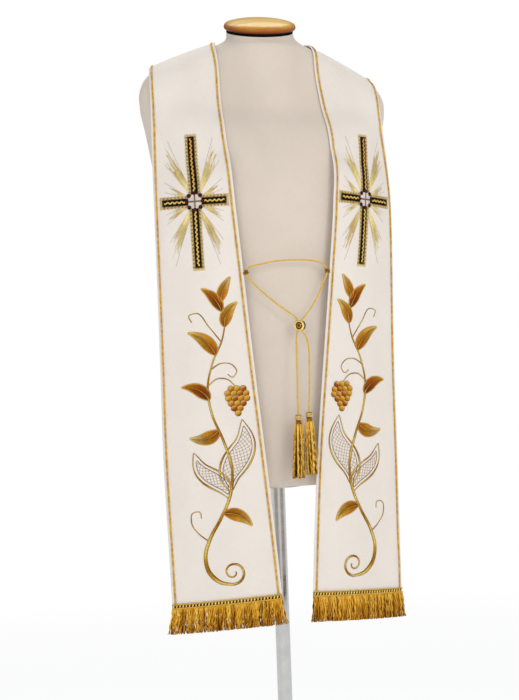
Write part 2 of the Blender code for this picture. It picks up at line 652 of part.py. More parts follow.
def main():
    for thing in list(bpy.data.objects):
        bpy.data.objects.remove(thing, do_unlink=True)
    cloth = material("ivory_cloth", (0.84, 0.80, 0.72), 0.75)
    gold = material("gold_thread", (0.68, 0.46, 0.10), 0.45)
    brass = material("gilt_metal", (0.83, 0.62, 0.20), 0.25, 1.0)
    thread = material("dark_thread", (0.05, 0.03, 0.03), 0.6)
    jersey = material("form_jersey", (0.78, 0.68, 0.58), 0.85)
    wood = material("beech", (0.62, 0.38, 0.14), 0.35)
    dark = material("dark_felt", (0.02, 0.015, 0.012), 0.8)
    steel = material("brushed_steel", (0.6, 0.6, 0.6), 0.3, 1.0)
    for label, side in SIDES.items():
        points, normals = build_half(label, side, cloth)
        build_edge_cords(label, side, points, normals, gold)
        build_fringe(label, side, points, normals, gold)
        build_cross(label, side, thread)
        build_tassel(label, gold)
    build_rings(gold)
    build_cord(gold)
    build_slider(brass)
    build_form(jersey)
    build_neck_cap(wood, dark)
    build_stand(wood, steel)


main()
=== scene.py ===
"""Looks of the clerical stole on its limbless dress form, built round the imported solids.

Frame: +Z up, origin on the floor under the middle of the round base, the front faces -Y
and the wearer's right is -X. Tables are in millimetres, as in the part's source; what
reaches Blender is in metres. Cloth, cords, fringe and embroidery of each half are all
laid on one fine surface, Half, which is the part's band with soft creases added.
"""
import math
from collections import namedtuple

import bpy
import numpy as np
from mathutils import Matrix, Vector


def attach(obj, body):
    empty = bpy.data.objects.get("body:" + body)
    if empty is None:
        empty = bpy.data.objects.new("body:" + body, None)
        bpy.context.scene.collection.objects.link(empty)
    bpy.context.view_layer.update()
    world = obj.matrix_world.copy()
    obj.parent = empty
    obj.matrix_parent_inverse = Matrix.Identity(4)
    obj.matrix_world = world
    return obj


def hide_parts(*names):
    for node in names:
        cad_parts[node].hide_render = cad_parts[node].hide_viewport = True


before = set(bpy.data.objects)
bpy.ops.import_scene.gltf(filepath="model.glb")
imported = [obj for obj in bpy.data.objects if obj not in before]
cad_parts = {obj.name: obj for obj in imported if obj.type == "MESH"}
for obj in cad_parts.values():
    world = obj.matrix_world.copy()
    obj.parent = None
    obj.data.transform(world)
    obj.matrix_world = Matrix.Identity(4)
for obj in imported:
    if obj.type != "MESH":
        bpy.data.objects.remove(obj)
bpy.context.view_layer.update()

MM = 0.001
GAP = 0.3
SIDES = {"right": -1, "left": 1}

# ---- the part's tables (mm) --------------------------------------------------------------
CLOTH = 2.0                    # wall of the band
SEAM = 0.3
REST = 3.0
EDGE_CORD = 4.0
EDGE_CORD_INSET = 4.0
HEADING = 9.0                  # height of the fringe's heading

Station = namedtuple("Station", "run inner_x inner_y inner_z outer_x outer_y outer_z bow")
STATIONS = [
    Station(0, 0, 72, 1524, 0, 112, 1415, 2),             # centre-back seam
    Station(40, 31, 68, 1528, 58, 106, 1424, 2),
    Station(80, 57, 52, 1538, 113, 88, 1447, 2),
    Station(115, 73, 30, 1550, 160, 54, 1481, 2),
    Station(145, 80, 6, 1558, 193, 10, 1505, 2),          # shoulder ridge
    Station(175, 82, -10, 1546, 199, -13, 1488, 2),
    Station(210, 83, -22, 1513, 202, -27, 1455, 3),
    Station(270, 86, -44, 1450, 204, -37, 1397, 4),
    Station(330, 88, -80, 1394, 206, -45, 1341, 6),
    Station(390, 88, -113, 1334, 207, -51, 1284, 7),      # breast
    Station(450, 84, -117, 1272, 207, -52, 1228, 7),
    Station(560, 74, -116, 1162, 206, -51, 1124, 7),      # rings of the tie cord
    Station(700, 61, -113, 1024, 205, -50, 996, 7),
    Station(850, 46, -110, 872, 205, -50, 850, 7),
    Station(980, 35, -108, 742, 203, -50, 724, 7),
    Station(1105, 26, -106, 617, 201, -49, 604, 6),       # hem
]
LENGTH = STATIONS[-1].run
RING_RUN = 565.0
Sway = namedtuple("Sway", "run shift")
SWAYS = [Sway(0, 0), Sway(145, -1.5), Sway(450, -1), Sway(850, -2.5), Sway(LENGTH, 0)]
Tilt = namedtuple("Tilt", "z share")
TILTS = [Tilt(1300, 0), Tilt(1375, 0.02), Tilt(1450, 0.04), Tilt(1530, 0.04), Tilt(1569, 0)]

Section = namedtuple("Section", "z half_width front back power neck")
SECTIONS = [
    Section(800, 167, 87, 101, 2.30, 20),
    Section(870, 177, 93, 108, 2.30, 20),
    Section(930, 178, 95, 107, 2.30, 20),
    Section(1000, 170, 98, 98, 2.25, 20),
    Section(1060, 163, 102, 92, 2.20, 20),                # waist
    Section(1120, 165, 105, 93, 2.20, 20),
    Section(1180, 172, 108, 98, 2.20, 20),
    Section(1240, 181, 111, 105, 2.20, 20),
    Section(1300, 190, 112, 111, 2.20, 30),               # chest
    Section(1350, 198, 106, 114, 2.20, 45),
    Section(1400, 207, 86, 112, 2.25, 56),
    Section(1440, 215, 58, 103, 2.35, 60),
    Section(1468, 214, 46, 91, 2.40, 61),                 # shoulder ends
    Section(1492, 199, 39, 76, 2.30, 61),
    Section(1512, 164, 35, 64, 2.10, 61),
    Section(1534, 119, 33, 52, 2.00, 60.5),
    Section(1550, 84, 31, 42, 2.00, 59.5),
    Section(1577, 36, 18, 24, 2.00, 57.0),                # top of the neck
]
FORM_BOTTOM, FORM_TOP = SECTIONS[0].z, SECTIONS[-1].z
NECK_BLEND = 4.5
NECK_LEVEL = 1545.0
NECK_TOP_AT = (-3.0, 0.0, 1577.0)
NECK_SLANT = math.radians(19.4)
NECK_TURN = math.radians(5.3)
RIM_HEIGHT = 4.0
RIM_RADIUS = 57.5
CAP_HEIGHT = 19.2
CAP_RADIUS = 62.0
BASE_RADIUS = 220.0
BASE_THICK = 26.0
POLE_RADIUS = 12.5
FOOT_FLANGE = 38.0
HEAD_PLATE = 46.0
PLATE_THICK = 5.0

FRINGE_DROP = 41.0
FRINGE_SPLAY = 6.0
CROSS_AT = (145.5, 1278.0)
CROSS_LEAN = {"right": math.radians(0.8), "left": math.radians(4.4)}
Bend = namedtuple("Bend", "up shift")    # outward shift of the cross, by height on it
CROSS_BENDS = {"right": [Bend(-113, 0), Bend(0, 1.5), Bend(112, 0)],
               "left": [Bend(-113, -3), Bend(0, 0), Bend(112, -1)]}
CROSS_BAR = 20.0
CROSS_ARM = 58.0
CROSS_UP = 112.0
CROSS_DOWN = 113.0

CORD_RADIUS = 1.7
RING_RADIUS = 3.5
RING_THREAD = 0.8
SLIDER_AT = (15.0, -125.0, 1068.0)
SLIDER_TURN = math.radians(40)
HOLE_OFFSET = 4.8
HOLE_RADIUS = CORD_RADIUS + GAP
HOLE_CLEAR = 7.6
TASSEL_TOP = {"right": (7.8, -122.0, 920.5), "left": (26.6, -121.0, 924.5)}
TASSEL_DROP = 83.0
YARN_FROM = 12.0               # below the tassel's top, where its yarns come out
TASSEL_FLARE = {"right": 10.6, "left": 9.4}
TASSEL_LEAN = {"right": -3.0, "left": 2.0}

# ---- sizes of the finish (mm) --------------------------------------------------------------
RUN_CELLS, SHARE_CELLS = 442, 60        # of the fine surface, about 2.5 mm each
CLOTH_ROW = 4.6                         # spacing of the cloth's rows and columns
USUAL_WIDTH = 150                       # of the band, for the count of its columns
EDGE_STEPS = (0, 0.5, 1.2, 2.2, 3.2, 4.0, 5.0, 6.0, 7.0, 8.0, 9.4, 12.0)
CHANNEL = 0.62                          # share of the thickness left under an edge cord
# Cloth's outward half thickness, as a share of the whole, by distance from the edge.
EDGE_PROFILE = [(0, 0.30), (0.5, 0.78), (1.2, 1.0), (2.2, 1.12), (3.2, 1.0), (4.0, 0.78),
                (6.0, CHANNEL), (8.0, 0.78), (9.4, 0.95), (12.0, 1.0)]
EDGE_CORD_PITCH = 6.6                   # length of one turn of its strands
EDGE_CORD_FLAT = 0.75                   # height of the couched cord over its width
WEAR_STEP = 3.4                         # length over which an edge cord keeps its tone
CORD_STATION = 1.3                      # spacing of the twisted cords' rings
TIE_PITCH = 7.2
POST_PITCH = 5.5                        # of the bright posts in the fringe's heading
FRINGE_YARNS, FRINGE_LAYERS, FRINGE_STATIONS = 600, 4, 14
TASSEL_YARNS, TASSEL_LOCKS, TASSEL_STATIONS = 240, 9, 20
TAIL_INSIDE = 46.0                      # length of each tail that runs on within its tassel
NET_INSET = 5.2                         # of a netted leaf's brown line from its edge
THREAD_CLEAR, THREAD_DEEP = 0.12, 0.55  # gap under the stitches, and the most a thread is high

# The cross: half width of its dark core and of a whole bar, the roundel's radius, and how
# far from the end of each bar its core stops.
HALF_CORE, HALF_BAR, ROUNDEL, TIP_INSET = 5.3, CROSS_BAR / 2, 13.6, 4.2
ZIGZAG_PITCH, ZIGZAG_SWING = 7.4, 1.25
BEAT_PITCH = 6.2                        # from one bright stretch of the bound edge to the next
# Rays between two arms: first and last angle off the upright, and how far each side goes.
Fan = namedtuple("Fan", "first last far near threads")
FANS = [Fan(20.3, 35.3, 112, 80, 24), Fan(54.4, 69.5, 60, 53, 18)]

# Soft creases: middle (run, and share across the band), half length, half width, depth
# out (+) or in (-), and sideways drift for each millimetre of run.
Crease = namedtuple("Crease", "run share length width depth slant")
CREASES = {
    "right": [
        Crease(250, 0.30, 105, 17, 1.7, 0.10), Crease(262, 0.72, 80, 14, -1.0, -0.05),
        Crease(470, 0.86, 150, 13, 1.5, 0.03), Crease(600, 0.22, 130, 19, -1.6, -0.05),
        Crease(690, 0.62, 170, 23, 1.9, 0.06), Crease(880, 0.30, 160, 22, -1.8, -0.04),
        Crease(960, 0.78, 140, 20, 2.2, 0.02), Crease(1040, 0.48, 100, 16, -1.2, 0.05),
        Crease(64, 0.55, 46, 16, 1.0, 0.20), Crease(118, 0.35, 34, 12, 0.8, -0.30),
    ],
    "left": [
        Crease(236, 0.42, 92, 15, 1.5, -0.12), Crease(300, 0.80, 96, 16, -1.2, 0.04),
        Crease(520, 0.30, 140, 18, 1.6, 0.04), Crease(640, 0.80, 120, 15, -1.5, -0.03),
        Crease(760, 0.46, 180, 25, 2.0, -0.04), Crease(905, 0.74, 150, 19, -2.0, 0.05),
        Crease(1000, 0.24, 120, 20, 1.9, 0.03), Crease(1056, 0.90, 70, 13, 2.6, 0.08),
        Crease(58, 0.40, 40, 15, 0.9, -0.15), Crease(112, 0.66, 36, 13, 0.9, 0.25),
    ],
}

# ---- colours (linear) ----------------------------------------------------------------------
IVORY = (0.80, 0.735, 0.665)
JERSEY = (0.675, 0.588, 0.502)
BRIGHT = (0.96, 0.69, 0.17)
GOLD = (0.74, 0.385, 0.026)
DEEP_GOLD = (0.37, 0.145, 0.008)
UMBER = (0.06, 0.018, 0.003)
PALE_GOLD = (0.90, 0.73, 0.33)
STRAW = (1.0, 0.76, 0.30)
TAN = (0.50, 0.32, 0.14)
RUST = (0.50, 0.10, 0.004)
AMBER = (0.74, 0.31, 0.014)
RUST_BROWN = (0.19, 0.055, 0.006)
BLACK = (0.006, 0.005, 0.004)
RAY = (1.0, 0.79, 0.38)
WARM = (0.97, 0.91, 0.62)                # tint of the fringe's and tassels' yarn
GARNET = (0.06, 0.003, 0.005)
PEARL = (0.90, 0.84, 0.79)
MIST = (0.50, 0.46, 0.50)

# Painted shade on the cap's wood by the share of its height: darker below.
CAP_PAINTED_SHADE = [(0.0, 0.09, 0.02, 0.0), (0.18, 0.28, 0.10, 0.02), (0.40, 0.56, 0.29, 0.13),
             (0.56, 0.77, 0.56, 0.40), (0.74, 1.0, 1.0, 1.0)]

# ---- the vine (x off the middle, z; mm) -----------------------------------------------------
VINE = [(104, 644), (124, 648), (141, 664), (147, 690), (139, 720), (121, 754), (105, 792),
        (101, 836), (114, 884), (130, 926), (136, 968), (127, 1012), (111, 1050), (106, 1088),
        (113, 1122)]
# Base, tip, half width, bend and tones of each leaf, from the midrib out.
LEAVES = [
    ((112, 1112), (96, 1152), 8, -3, (RUST, AMBER, PALE_GOLD)),
    ((111, 1096), (142, 1134), 9, 5, (RUST_BROWN, RUST, AMBER)),
    ((107, 1070), (86, 1110), 9.5, -6, (RUST, AMBER, BRIGHT)),
    ((122, 1024), (164, 1062), 11, 7, (RUST, AMBER, BRIGHT)),
    ((134, 950), (176, 972), 10.5, 8, (RUST_BROWN, RUST, AMBER)),
    ((120, 900), (166, 888), 11, -8, (RUST, AMBER, PALE_GOLD)),
    ((116, 762), (72, 740), 10.5, -7, (RUST, AMBER, BRIGHT)),
]
TENDRILS = [
    [(140, 716), (155, 728), (167, 746), (165, 764), (154, 765), (152, 755)],
    [(131, 1000), (114, 1010), (98, 1008), (90, 996), (97, 987), (104, 992)],
    [(113, 1046), (132, 1072), (150, 1094), (162, 1090), (158, 1079)],
]
# Base, tip, half width, sway and mesh of each.
NETTED_LEAVES = [((103, 798), (79, 916), 21, -7, 7.5), ((106, 786), (163, 862), 15, 5, 7.0)]
BUNCH_STALK = [(135, 974), (120, 985), (104, 983), (93, 972)]
BUNCH_TOP, GRAPE_RADIUS = (90, 968), 5.0
BUNCH_ROWS = (3, 4, 4, 3, 2, 1)         # grapes in each row, from the top


# ---- helpers -------------------------------------------------------------------------------
def smooth_lookup(table, keys):
    """Values of the table's other columns at the keys, with smooth slopes between rows."""
    data = np.array(table, dtype=float)
    knots, values = data[:, 0], data[:, 1:]
    keys = np.clip(np.asarray(keys, dtype=float), knots[0], knots[-1])
    step = np.diff(knots)[:, None]
    rise = np.diff(values, axis=0) / step
    slope = np.empty_like(values)
    slope[0], slope[-1] = rise[0], rise[-1]
    slope[1:-1] = (rise[:-1] * step[1:] + rise[1:] * step[:-1]) / (step[1:] + step[:-1])
    low = np.clip(np.searchsorted(knots, keys, side="right") - 1, 0, len(knots) - 2)
    width = step[low]
    t = ((keys - knots[low])[..., None]) / width
    return ((2 * t**3 - 3 * t**2 + 1) * values[low] + (t**3 - 2 * t**2 + t) * width * slope[low]
            + (3 * t**2 - 2 * t**3) * values[low + 1] + (t**3 - t**2) * width * slope[low + 1])


def unit(vectors):
    """Vectors at length one."""
    return vectors / np.maximum(np.linalg.norm(vectors, axis=-1, keepdims=True), 1e-12)


def ease(low, high, value):
    """0 up to low, 1 from high, and a smooth rise between."""
    t = np.clip((value - low) / (high - low), 0, 1)
    return t * t * (3 - 2 * t)


def blend(first, second, share):
    """Colours between two, one for each share."""
    share = np.asarray(share, float)[..., None]
    return np.asarray(first) * (1 - share) + np.asarray(second) * share


def circle(sides):
    """Angles of the corners of a ring."""
    return np.linspace(0, 2 * math.pi, sides, endpoint=False)


def polar(radius, turn, height=0.0):
    """Points at a radius from the Z axis, turned about it, at a height."""
    return np.stack(np.broadcast_arrays(radius * np.cos(turn), radius * np.sin(turn), height),
                    axis=-1)


def lengths(line):
    """Distance of each point of a polyline from its first, along it."""
    return np.concatenate([[0], np.cumsum(np.linalg.norm(np.diff(line, axis=0), axis=1))])


def rows_at(where, marks, table):
    """Rows between those of a table, whose own rows stand at the marks."""
    return np.stack([np.interp(where, marks, column) for column in np.transpose(table)], axis=-1)


def spaced(route, step):
    """Points at an even spacing along a polyline."""
    along = lengths(route)
    marks = np.linspace(0, along[-1], max(3, round(along[-1] / step) + 1))
    return rows_at(marks, along, route)


def smooth_route(route, step):
    """Points spaced along a smooth curve through the route, ends included."""
    run = lengths(route)
    table = np.column_stack([run, route])
    return spaced(smooth_lookup(table, np.linspace(0, run[-1], 40 * len(route))), step)


def gilding(tone):
    """Colour of gold thread from its shadow, 0, to its gleam, 1."""
    return rows_at(tone, (0.0, 0.35, 0.72, 1.0), (UMBER, DEEP_GOLD, GOLD, BRIGHT))


# ---- the form's and the band's surfaces, as in the part's source -----------------------------
def form_radius(angle, z):
    """Distance of the form's surface from the Z axis."""
    half_width, front, back, power, neck = np.moveaxis(smooth_lookup(SECTIONS, z), -1, 0)
    depth = np.where(np.sin(angle) < 0, front, back)
    body = (np.abs(np.cos(angle) / half_width) ** power
            + np.abs(np.sin(angle) / depth) ** power) ** (-1 / power)
    return (neck**NECK_BLEND + body**NECK_BLEND) ** (1 / NECK_BLEND)


def beyond_form(points):
    """How far points lie outside the form, measured level."""
    x, y, z = points[..., 0], points[..., 1], points[..., 2]
    return np.hypot(x, y) - form_radius(np.arctan2(y, x), z)


def stand_off(points, clear):
    """Moves the points that lie closer to the form than clear straight out to it."""
    reach = 0.5
    for _ in range(6):
        slope = np.stack([(beyond_form(points + axis) - beyond_form(points - axis)) / (2 * reach)
                          for axis in np.eye(3) * reach], axis=-1)
        steep = np.linalg.norm(slope, axis=-1, keepdims=True)
        distance = beyond_form(points)[..., None] / steep
        points = points + slope / steep * np.maximum(0, clear - distance)
    return points


def tilted(points):
    """Points lowered towards the wearer's left by the share for their height."""
    moved = np.array(points, dtype=float)
    moved[..., 2] -= moved[..., 0] * smooth_lookup(TILTS, moved[..., 2])[..., 0]
    return moved


def band_points(side, run, share):
    """Middle of the cloth at a run along the band and a share across it, 0 at the inner edge."""
    def edges_at(where):
        row = smooth_lookup(STATIONS, where)
        return row[..., 0:3], row[..., 3:6], row[..., 6]
    inner, outer, bow = edges_at(run)
    ahead, behind = edges_at(run + 1), edges_at(run - 1)
    along = (ahead[0] + ahead[1]) - (behind[0] + behind[1])
    out = unit(np.cross(along, outer - inner))
    share = share[..., None]
    points = inner * (1 - share) + outer * share
    points = points + out * bow[..., None] * 4 * share * (1 - share)
    points = stand_off(points, REST)
    points[..., 0] *= side
    points = tilted(points)
    points[..., 0] += smooth_lookup(SWAYS, run)[..., 0] * np.clip(run / SWAYS[1].run, 0, 1)
    return points


def band_width(run):
    """Straight distance between the two edges."""
    row = smooth_lookup(STATIONS, run)
    return np.linalg.norm(row[..., 3:6] - row[..., 0:3], axis=-1)


def creased(label, run, share):
    """How far the creases lift the cloth at each place."""
    lift = np.zeros_like(run)
    width = band_width(run)
    for crease in CREASES[label]:
        along = (run - crease.run) / crease.length
        aside = ((share - crease.share) * width - crease.slant * (run - crease.run)) / crease.width
        lift += crease.depth * np.clip(1 - along**2, 0, 1) ** 2 * np.exp(-aside**2)
    return lift


class Half:
    """Fine surface of one half of the stole: its middle layer and the outward normals."""

    def __init__(self, label):
        self.label, self.side = label, SIDES[label]
        run, share = np.meshgrid(np.linspace(0, LENGTH, RUN_CELLS + 1),
                                 np.linspace(0, 1, SHARE_CELLS + 1), indexing="ij")
        points = band_points(self.side, run, share)
        normals = self.outward(points)
        self.points = points + normals * creased(label, run, share)[..., None]
        self.normals = self.outward(self.points)

    def outward(self, points):
        """Unit normals of the grid, away from the body."""
        along, across = np.gradient(points, axis=0), np.gradient(points, axis=1)
        return unit(np.cross(along, across)) * self.side

    def at(self, run, share):
        """Points and normals at runs and shares across."""
        run, share = np.broadcast_arrays(np.asarray(run, float), np.asarray(share, float))
        i = np.clip(run / LENGTH, 0, 1) * RUN_CELLS
        j = np.clip(share, 0, 1) * SHARE_CELLS
        i0 = np.minimum(i.astype(int), RUN_CELLS - 1)
        j0 = np.minimum(j.astype(int), SHARE_CELLS - 1)
        fi, fj = (i - i0)[..., None], (j - j0)[..., None]

        def mixed(grid):
            upper = grid[i0, j0] * (1 - fj) + grid[i0, j0 + 1] * fj
            lower = grid[i0 + 1, j0] * (1 - fj) + grid[i0 + 1, j0 + 1] * fj
            return upper * (1 - fi) + lower * fi
        return mixed(self.points), unit(mixed(self.normals))

    def place(self, x, z):
        """Points and normals of the hanging front at distances x off the middle, heights z."""
        run, share = LENGTH + STATIONS[-1].inner_z - z, np.full_like(x, 0.5)
        for _ in range(9):
            points, _ = self.at(run, share)
            run = run + (points[..., 2] - z)
            share = share + (x - points[..., 0] * self.side) / band_width(run)
        return self.at(run, share)


# ---- meshes --------------------------------------------------------------------------------
def plain(colour, points):
    """One colour for every point."""
    return np.repeat([colour], len(points), axis=0)


def facing_out(points, groups):
    """The groups of faces, turned over if they enclose a negative volume."""
    volume = 0.0
    for group in groups:
        for k in range(1, group.shape[1] - 1):
            a, b, c = (points[group[:, m]] for m in (0, k, k + 1))
            volume += float((a * np.cross(b, c)).sum())
    return [group[:, ::-1] for group in groups] if volume < 0 else groups


def linked(name, data):
    """A new object in the scene."""
    thing = bpy.data.objects.new(name, data)
    bpy.context.scene.collection.objects.link(thing)
    return thing


def add_piece(name, points, groups, look, slot, colours=None, lay=None):
    """A piece of the object from points in millimetres and arrays of faces of equal size.

    colours are the points' own, and lay their places on the flat cloth."""
    points = np.asarray(points, float)
    groups = [np.asarray(group, np.int32) for group in groups if len(group)]
    groups = facing_out(points - points.mean(axis=0), groups)
    sizes = np.concatenate([np.full(len(group), group.shape[1]) for group in groups])
    mesh = bpy.data.meshes.new(name)
    mesh.vertices.add(len(points))
    mesh.vertices.foreach_set("co", (points * MM).astype(np.float32).ravel())
    mesh.loops.add(int(sizes.sum()))
    mesh.loops.foreach_set("vertex_index", np.concatenate([group.ravel() for group in groups]))
    mesh.polygons.add(len(sizes))
    mesh.polygons.foreach_set("loop_start", np.cumsum(sizes) - sizes)
    mesh.update(calc_edges=True)
    mesh.shade_smooth()
    if colours is not None:
        rgba = np.ones((len(points), 4), np.float32)
        rgba[:, :3] = np.clip(colours, 0, 1)
        mesh.color_attributes.new("colour", "FLOAT_COLOR", "POINT").data.foreach_set(
            "color", rgba.ravel())
    if lay is not None:
        mesh.attributes.new("lay", "FLOAT_VECTOR", "POINT").data.foreach_set(
            "vector", (np.asarray(lay) * MM).astype(np.float32).ravel())
    mesh.materials.append(look)
    piece = linked(name, mesh)
    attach(piece, "root")
    return piece


def add_joined(name, parts, look, slot):
    """A piece from several sets of points, faces and colours."""
    points, faces, colours = joined(parts)
    return add_piece(name, points, faces, look, slot, colours)


def tube_faces(lines, stations, sides):
    """Faces of closed tubes whose rings follow one another, lines of stations rings each."""
    ring = np.arange(sides)
    after = (ring + 1) % sides
    starts = (np.arange(lines)[:, None] * stations + np.arange(stations - 1)) * sides
    low = starts.reshape(-1, 1)
    walls = np.stack([low + ring, low + after, low + sides + after, low + sides + ring], axis=-1)
    first = np.arange(lines)[:, None] * stations * sides + ring
    last = first + (stations - 1) * sides
    return [walls.reshape(-1, 4), np.concatenate([first[:, ::-1], last])]


def grid_faces(rows, columns, wrap=False):
    """Faces between rows of points, closed round where wrap is set."""
    i, j = np.meshgrid(np.arange(rows - 1), np.arange(columns if wrap else columns - 1),
                       indexing="ij")
    a, b = i * columns + j, i * columns + (j + 1) % columns
    return np.stack([a, b, b + columns, a + columns], axis=-1).reshape(-1, 4)


def turned(profile, sides):
    """Solid turned about Z from (radius, height) pairs whose first and last radius is 0."""
    profile = np.asarray(profile, float)
    body = profile[1:-1]
    rings = polar(body[:, :1], circle(sides), body[:, 1:]).reshape(-1, 3)
    points = np.vstack([rings, [0, 0, profile[0, 1]], [0, 0, profile[-1, 1]]])
    ring, after = np.arange(sides), (np.arange(sides) + 1) % sides
    last, foot = (len(body) - 1) * sides, len(rings)
    caps = np.concatenate([np.stack([after, ring, np.full(sides, foot)], axis=-1),
                           np.stack([last + ring, last + after, np.full(sides, foot + 1)],
                                    axis=-1)])
    return points, [grid_faces(len(body), sides, wrap=True), caps]


def rounded(profile, radius, steps=5):
    """The profile with each corner between its ends cut to a round of about that radius."""
    profile = np.asarray(profile, float)
    made = [profile[0]]
    for before, corner, after in zip(profile, profile[1:], profile[2:]):
        reach = min(radius, 0.45 * np.linalg.norm(before - corner),
                    0.45 * np.linalg.norm(after - corner))
        start = corner + unit(before - corner) * reach
        end = corner + unit(after - corner) * reach
        for t in np.linspace(0, 1, steps):
            made.append(start * (1 - t) ** 2 + corner * 2 * t * (1 - t) + end * t**2)
    return np.array(made + [profile[-1]])


def frames_along(path, up):
    """Side and up vectors square to the path, near the given up."""
    ahead = unit(np.gradient(path, axis=0))
    side = unit(np.cross(up, ahead))
    return side, unit(np.cross(ahead, side))


def carried_up(path, start):
    """Up vectors carried along a path without twist."""
    ahead = unit(np.gradient(path, axis=0))
    up = np.zeros_like(path)
    held = np.asarray(start, float)
    for k, heading in enumerate(ahead):
        held = unit(held - heading * (held @ heading))
        up[k] = held
    return up


def twisted(path, up, radius, pitch, strands=3, flat=1.0, sides=6, bright=GOLD, deep=UMBER):
    """Points, face groups and colours of a twisted cord along a path, with painted shade between
    the strands.

    pitch is the length of one turn, flat the cord's height over its width, bright the strands'
    outer colour and deep the painted shade where they meet."""
    side, up = frames_along(path, up)
    strand = radius * (0.5 if strands == 2 else 0.48)
    turn = 2 * math.pi * (lengths(path)[None, :] / pitch
                          + np.arange(strands)[:, None] / strands)[..., None]
    roll = circle(sides)
    aside = np.cos(turn) * (radius - strand) + np.cos(roll) * strand
    above = (np.sin(turn) * (radius - strand) + np.sin(roll) * strand) * flat
    points = (path[None, :, None] + side[None, :, None] * aside[..., None]
              + up[None, :, None] * above[..., None])
    # Painted shade: each strand darker towards the cord's middle, where the strands meet.
    reach = np.hypot(aside, above / flat) / radius
    colours = blend(deep, bright, ease(0.45, 0.92, reach))
    return (points.reshape(-1, 3), tube_faces(strands, len(path), sides),
            colours.reshape(-1, 3))


def joined(parts):
    """One set of points, faces and colours from several."""
    points, colours, groups, start = [], [], {}, 0
    for some, faces, tints in parts:
        for group in faces:
            groups.setdefault(group.shape[1], []).append(group + start)
        points.append(some)
        colours.append(tints)
        start += len(some)
    return (np.concatenate(points), [np.concatenate(g) for g in groups.values()],
            np.concatenate(colours))


# ---- materials -----------------------------------------------------------------------------
class Wiring:
    """Short ways to add nodes to a tree and wire them."""

    def __init__(self, owner):
        owner.use_nodes = True
        self.nodes, self.links = owner.node_tree.nodes, owner.node_tree.links

    def add(self, kind, inputs=None, **settings):
        node = self.nodes.new("ShaderNode" + kind)
        for key, value in settings.items():
            setattr(node, key, value)
        for key, value in (inputs or {}).items():
            self.feed(node.inputs[key], value)
        return node

    def feed(self, socket, value):
        """Wires a socket to the input, or sets the input to a constant."""
        if isinstance(value, bpy.types.NodeSocket):
            self.links.new(value, socket)
        else:
            socket.default_value = value

    def math(self, operation, *values):
        node = self.add("Math", operation=operation)
        for socket, value in zip(node.inputs, values):
            self.feed(socket, value)
        return node.outputs[0]

    def noise(self, vector, scale, detail=2.0, roughness=0.5):
        return self.add("TexNoise", {"Vector": vector, "Scale": scale, "Detail": detail,
                                     "Roughness": roughness}).outputs["Fac"]

    def ramp(self, value, low, high, start=0.3, end=0.7):
        """Value carried from low at start to high at end, by default over a noise's spread."""
        return self.add("MapRange", {"Value": value, "From Min": start, "From Max": end,
                                     "To Min": low, "To Max": high}).outputs["Result"]

    def tinted(self, colour, factor):
        """A colour, or colour socket, made lighter or darker by a factor socket."""
        return self.add("VectorMath", {0: colour, "Scale": factor}, operation="SCALE").outputs[0]

    def stretched(self, vector, scale):
        return self.add("VectorMath", {0: vector, 1: scale}, operation="MULTIPLY").outputs[0]


class Look(Wiring):
    """A material and its shader; values are the shader's constants."""

    def __init__(self, name, **values):
        self.material = bpy.data.materials.new(name)
        super().__init__(self.material)
        self.shader = self.nodes["Principled BSDF"]
        for key, value in values.items():
            self.shader.inputs[key.replace("_", " ")].default_value = value

    def place(self):
        return self.add("TexCoord").outputs["Object"]

    def painted(self):
        """The colour on the mesh's points."""
        return self.add("Attribute", attribute_name="colour").outputs["Color"]

    def vary(self, key, value):
        """Feeds one of the shader's own sockets."""
        self.feed(self.shader.inputs[key], value)

    def bump(self, height, distance, strength):
        self.vary("Normal", self.add("Bump", {"Height": height, "Distance": distance,
                                              "Strength": strength}).outputs[0])


def cloth_look(name, colour, pitch, sheen, rib=False):
    """Woven cloth, or knit where rib is set: thread bumps, slubs and a faint mottle."""
    look = Look(name, Roughness=0.78, Sheen_Weight=sheen, Sheen_Roughness=0.45)
    lay = look.add("Attribute", attribute_name="lay").outputs["Vector"]
    parts = look.add("SeparateXYZ", {0: lay})
    turns = 2 * math.pi / (pitch * MM)
    warp = look.math("SINE", look.math("MULTIPLY", parts.outputs["X"], turns))
    weft = look.math("SINE", look.math("MULTIPLY", parts.outputs["Y"],
                                       turns * (0.6 if rib else 1.0)))
    weave = (look.math("ADD", warp, look.math("MULTIPLY", weft, 0.35)) if rib
             else look.math("MULTIPLY", warp, weft))
    yarn = look.math("ADD", look.noise(look.stretched(lay, (900.0, 90.0, 0.0)), 1.0),
                     look.noise(look.stretched(lay, (80.0, 800.0, 0.0)), 1.0))
    shade = look.math("ADD", look.ramp(yarn, -0.035, 0.035, 0.6, 1.4),
                      look.ramp(look.noise(lay, 14.0, detail=3.0), 0.975, 1.02))
    look.vary("Base Color", look.tinted(colour, shade))
    height = look.math("ADD", look.math("MULTIPLY", weave, 0.5), look.math("MULTIPLY", yarn, 1.2))
    look.bump(height, 0.00009, 0.75)
    return look.material


def thread_look(name, metallic, roughness):
    """Thread whose colour is on the mesh, with a fine grain along and across it."""
    look = Look(name, Metallic=metallic, Roughness=roughness, Specular_IOR_Level=0.14)
    place = look.place()
    grain = look.noise(place, 2600.0, detail=1.0)
    factor = look.math("ADD", look.ramp(grain, -0.14, 0.14),
                       look.ramp(look.noise(place, 160.0), 0.92, 1.08))
    look.vary("Base Color", look.tinted(look.painted(), factor))
    look.vary("Roughness", look.ramp(grain, roughness - 0.08, roughness + 0.1))
    look.bump(grain, 0.00012, 0.6)
    return look.material


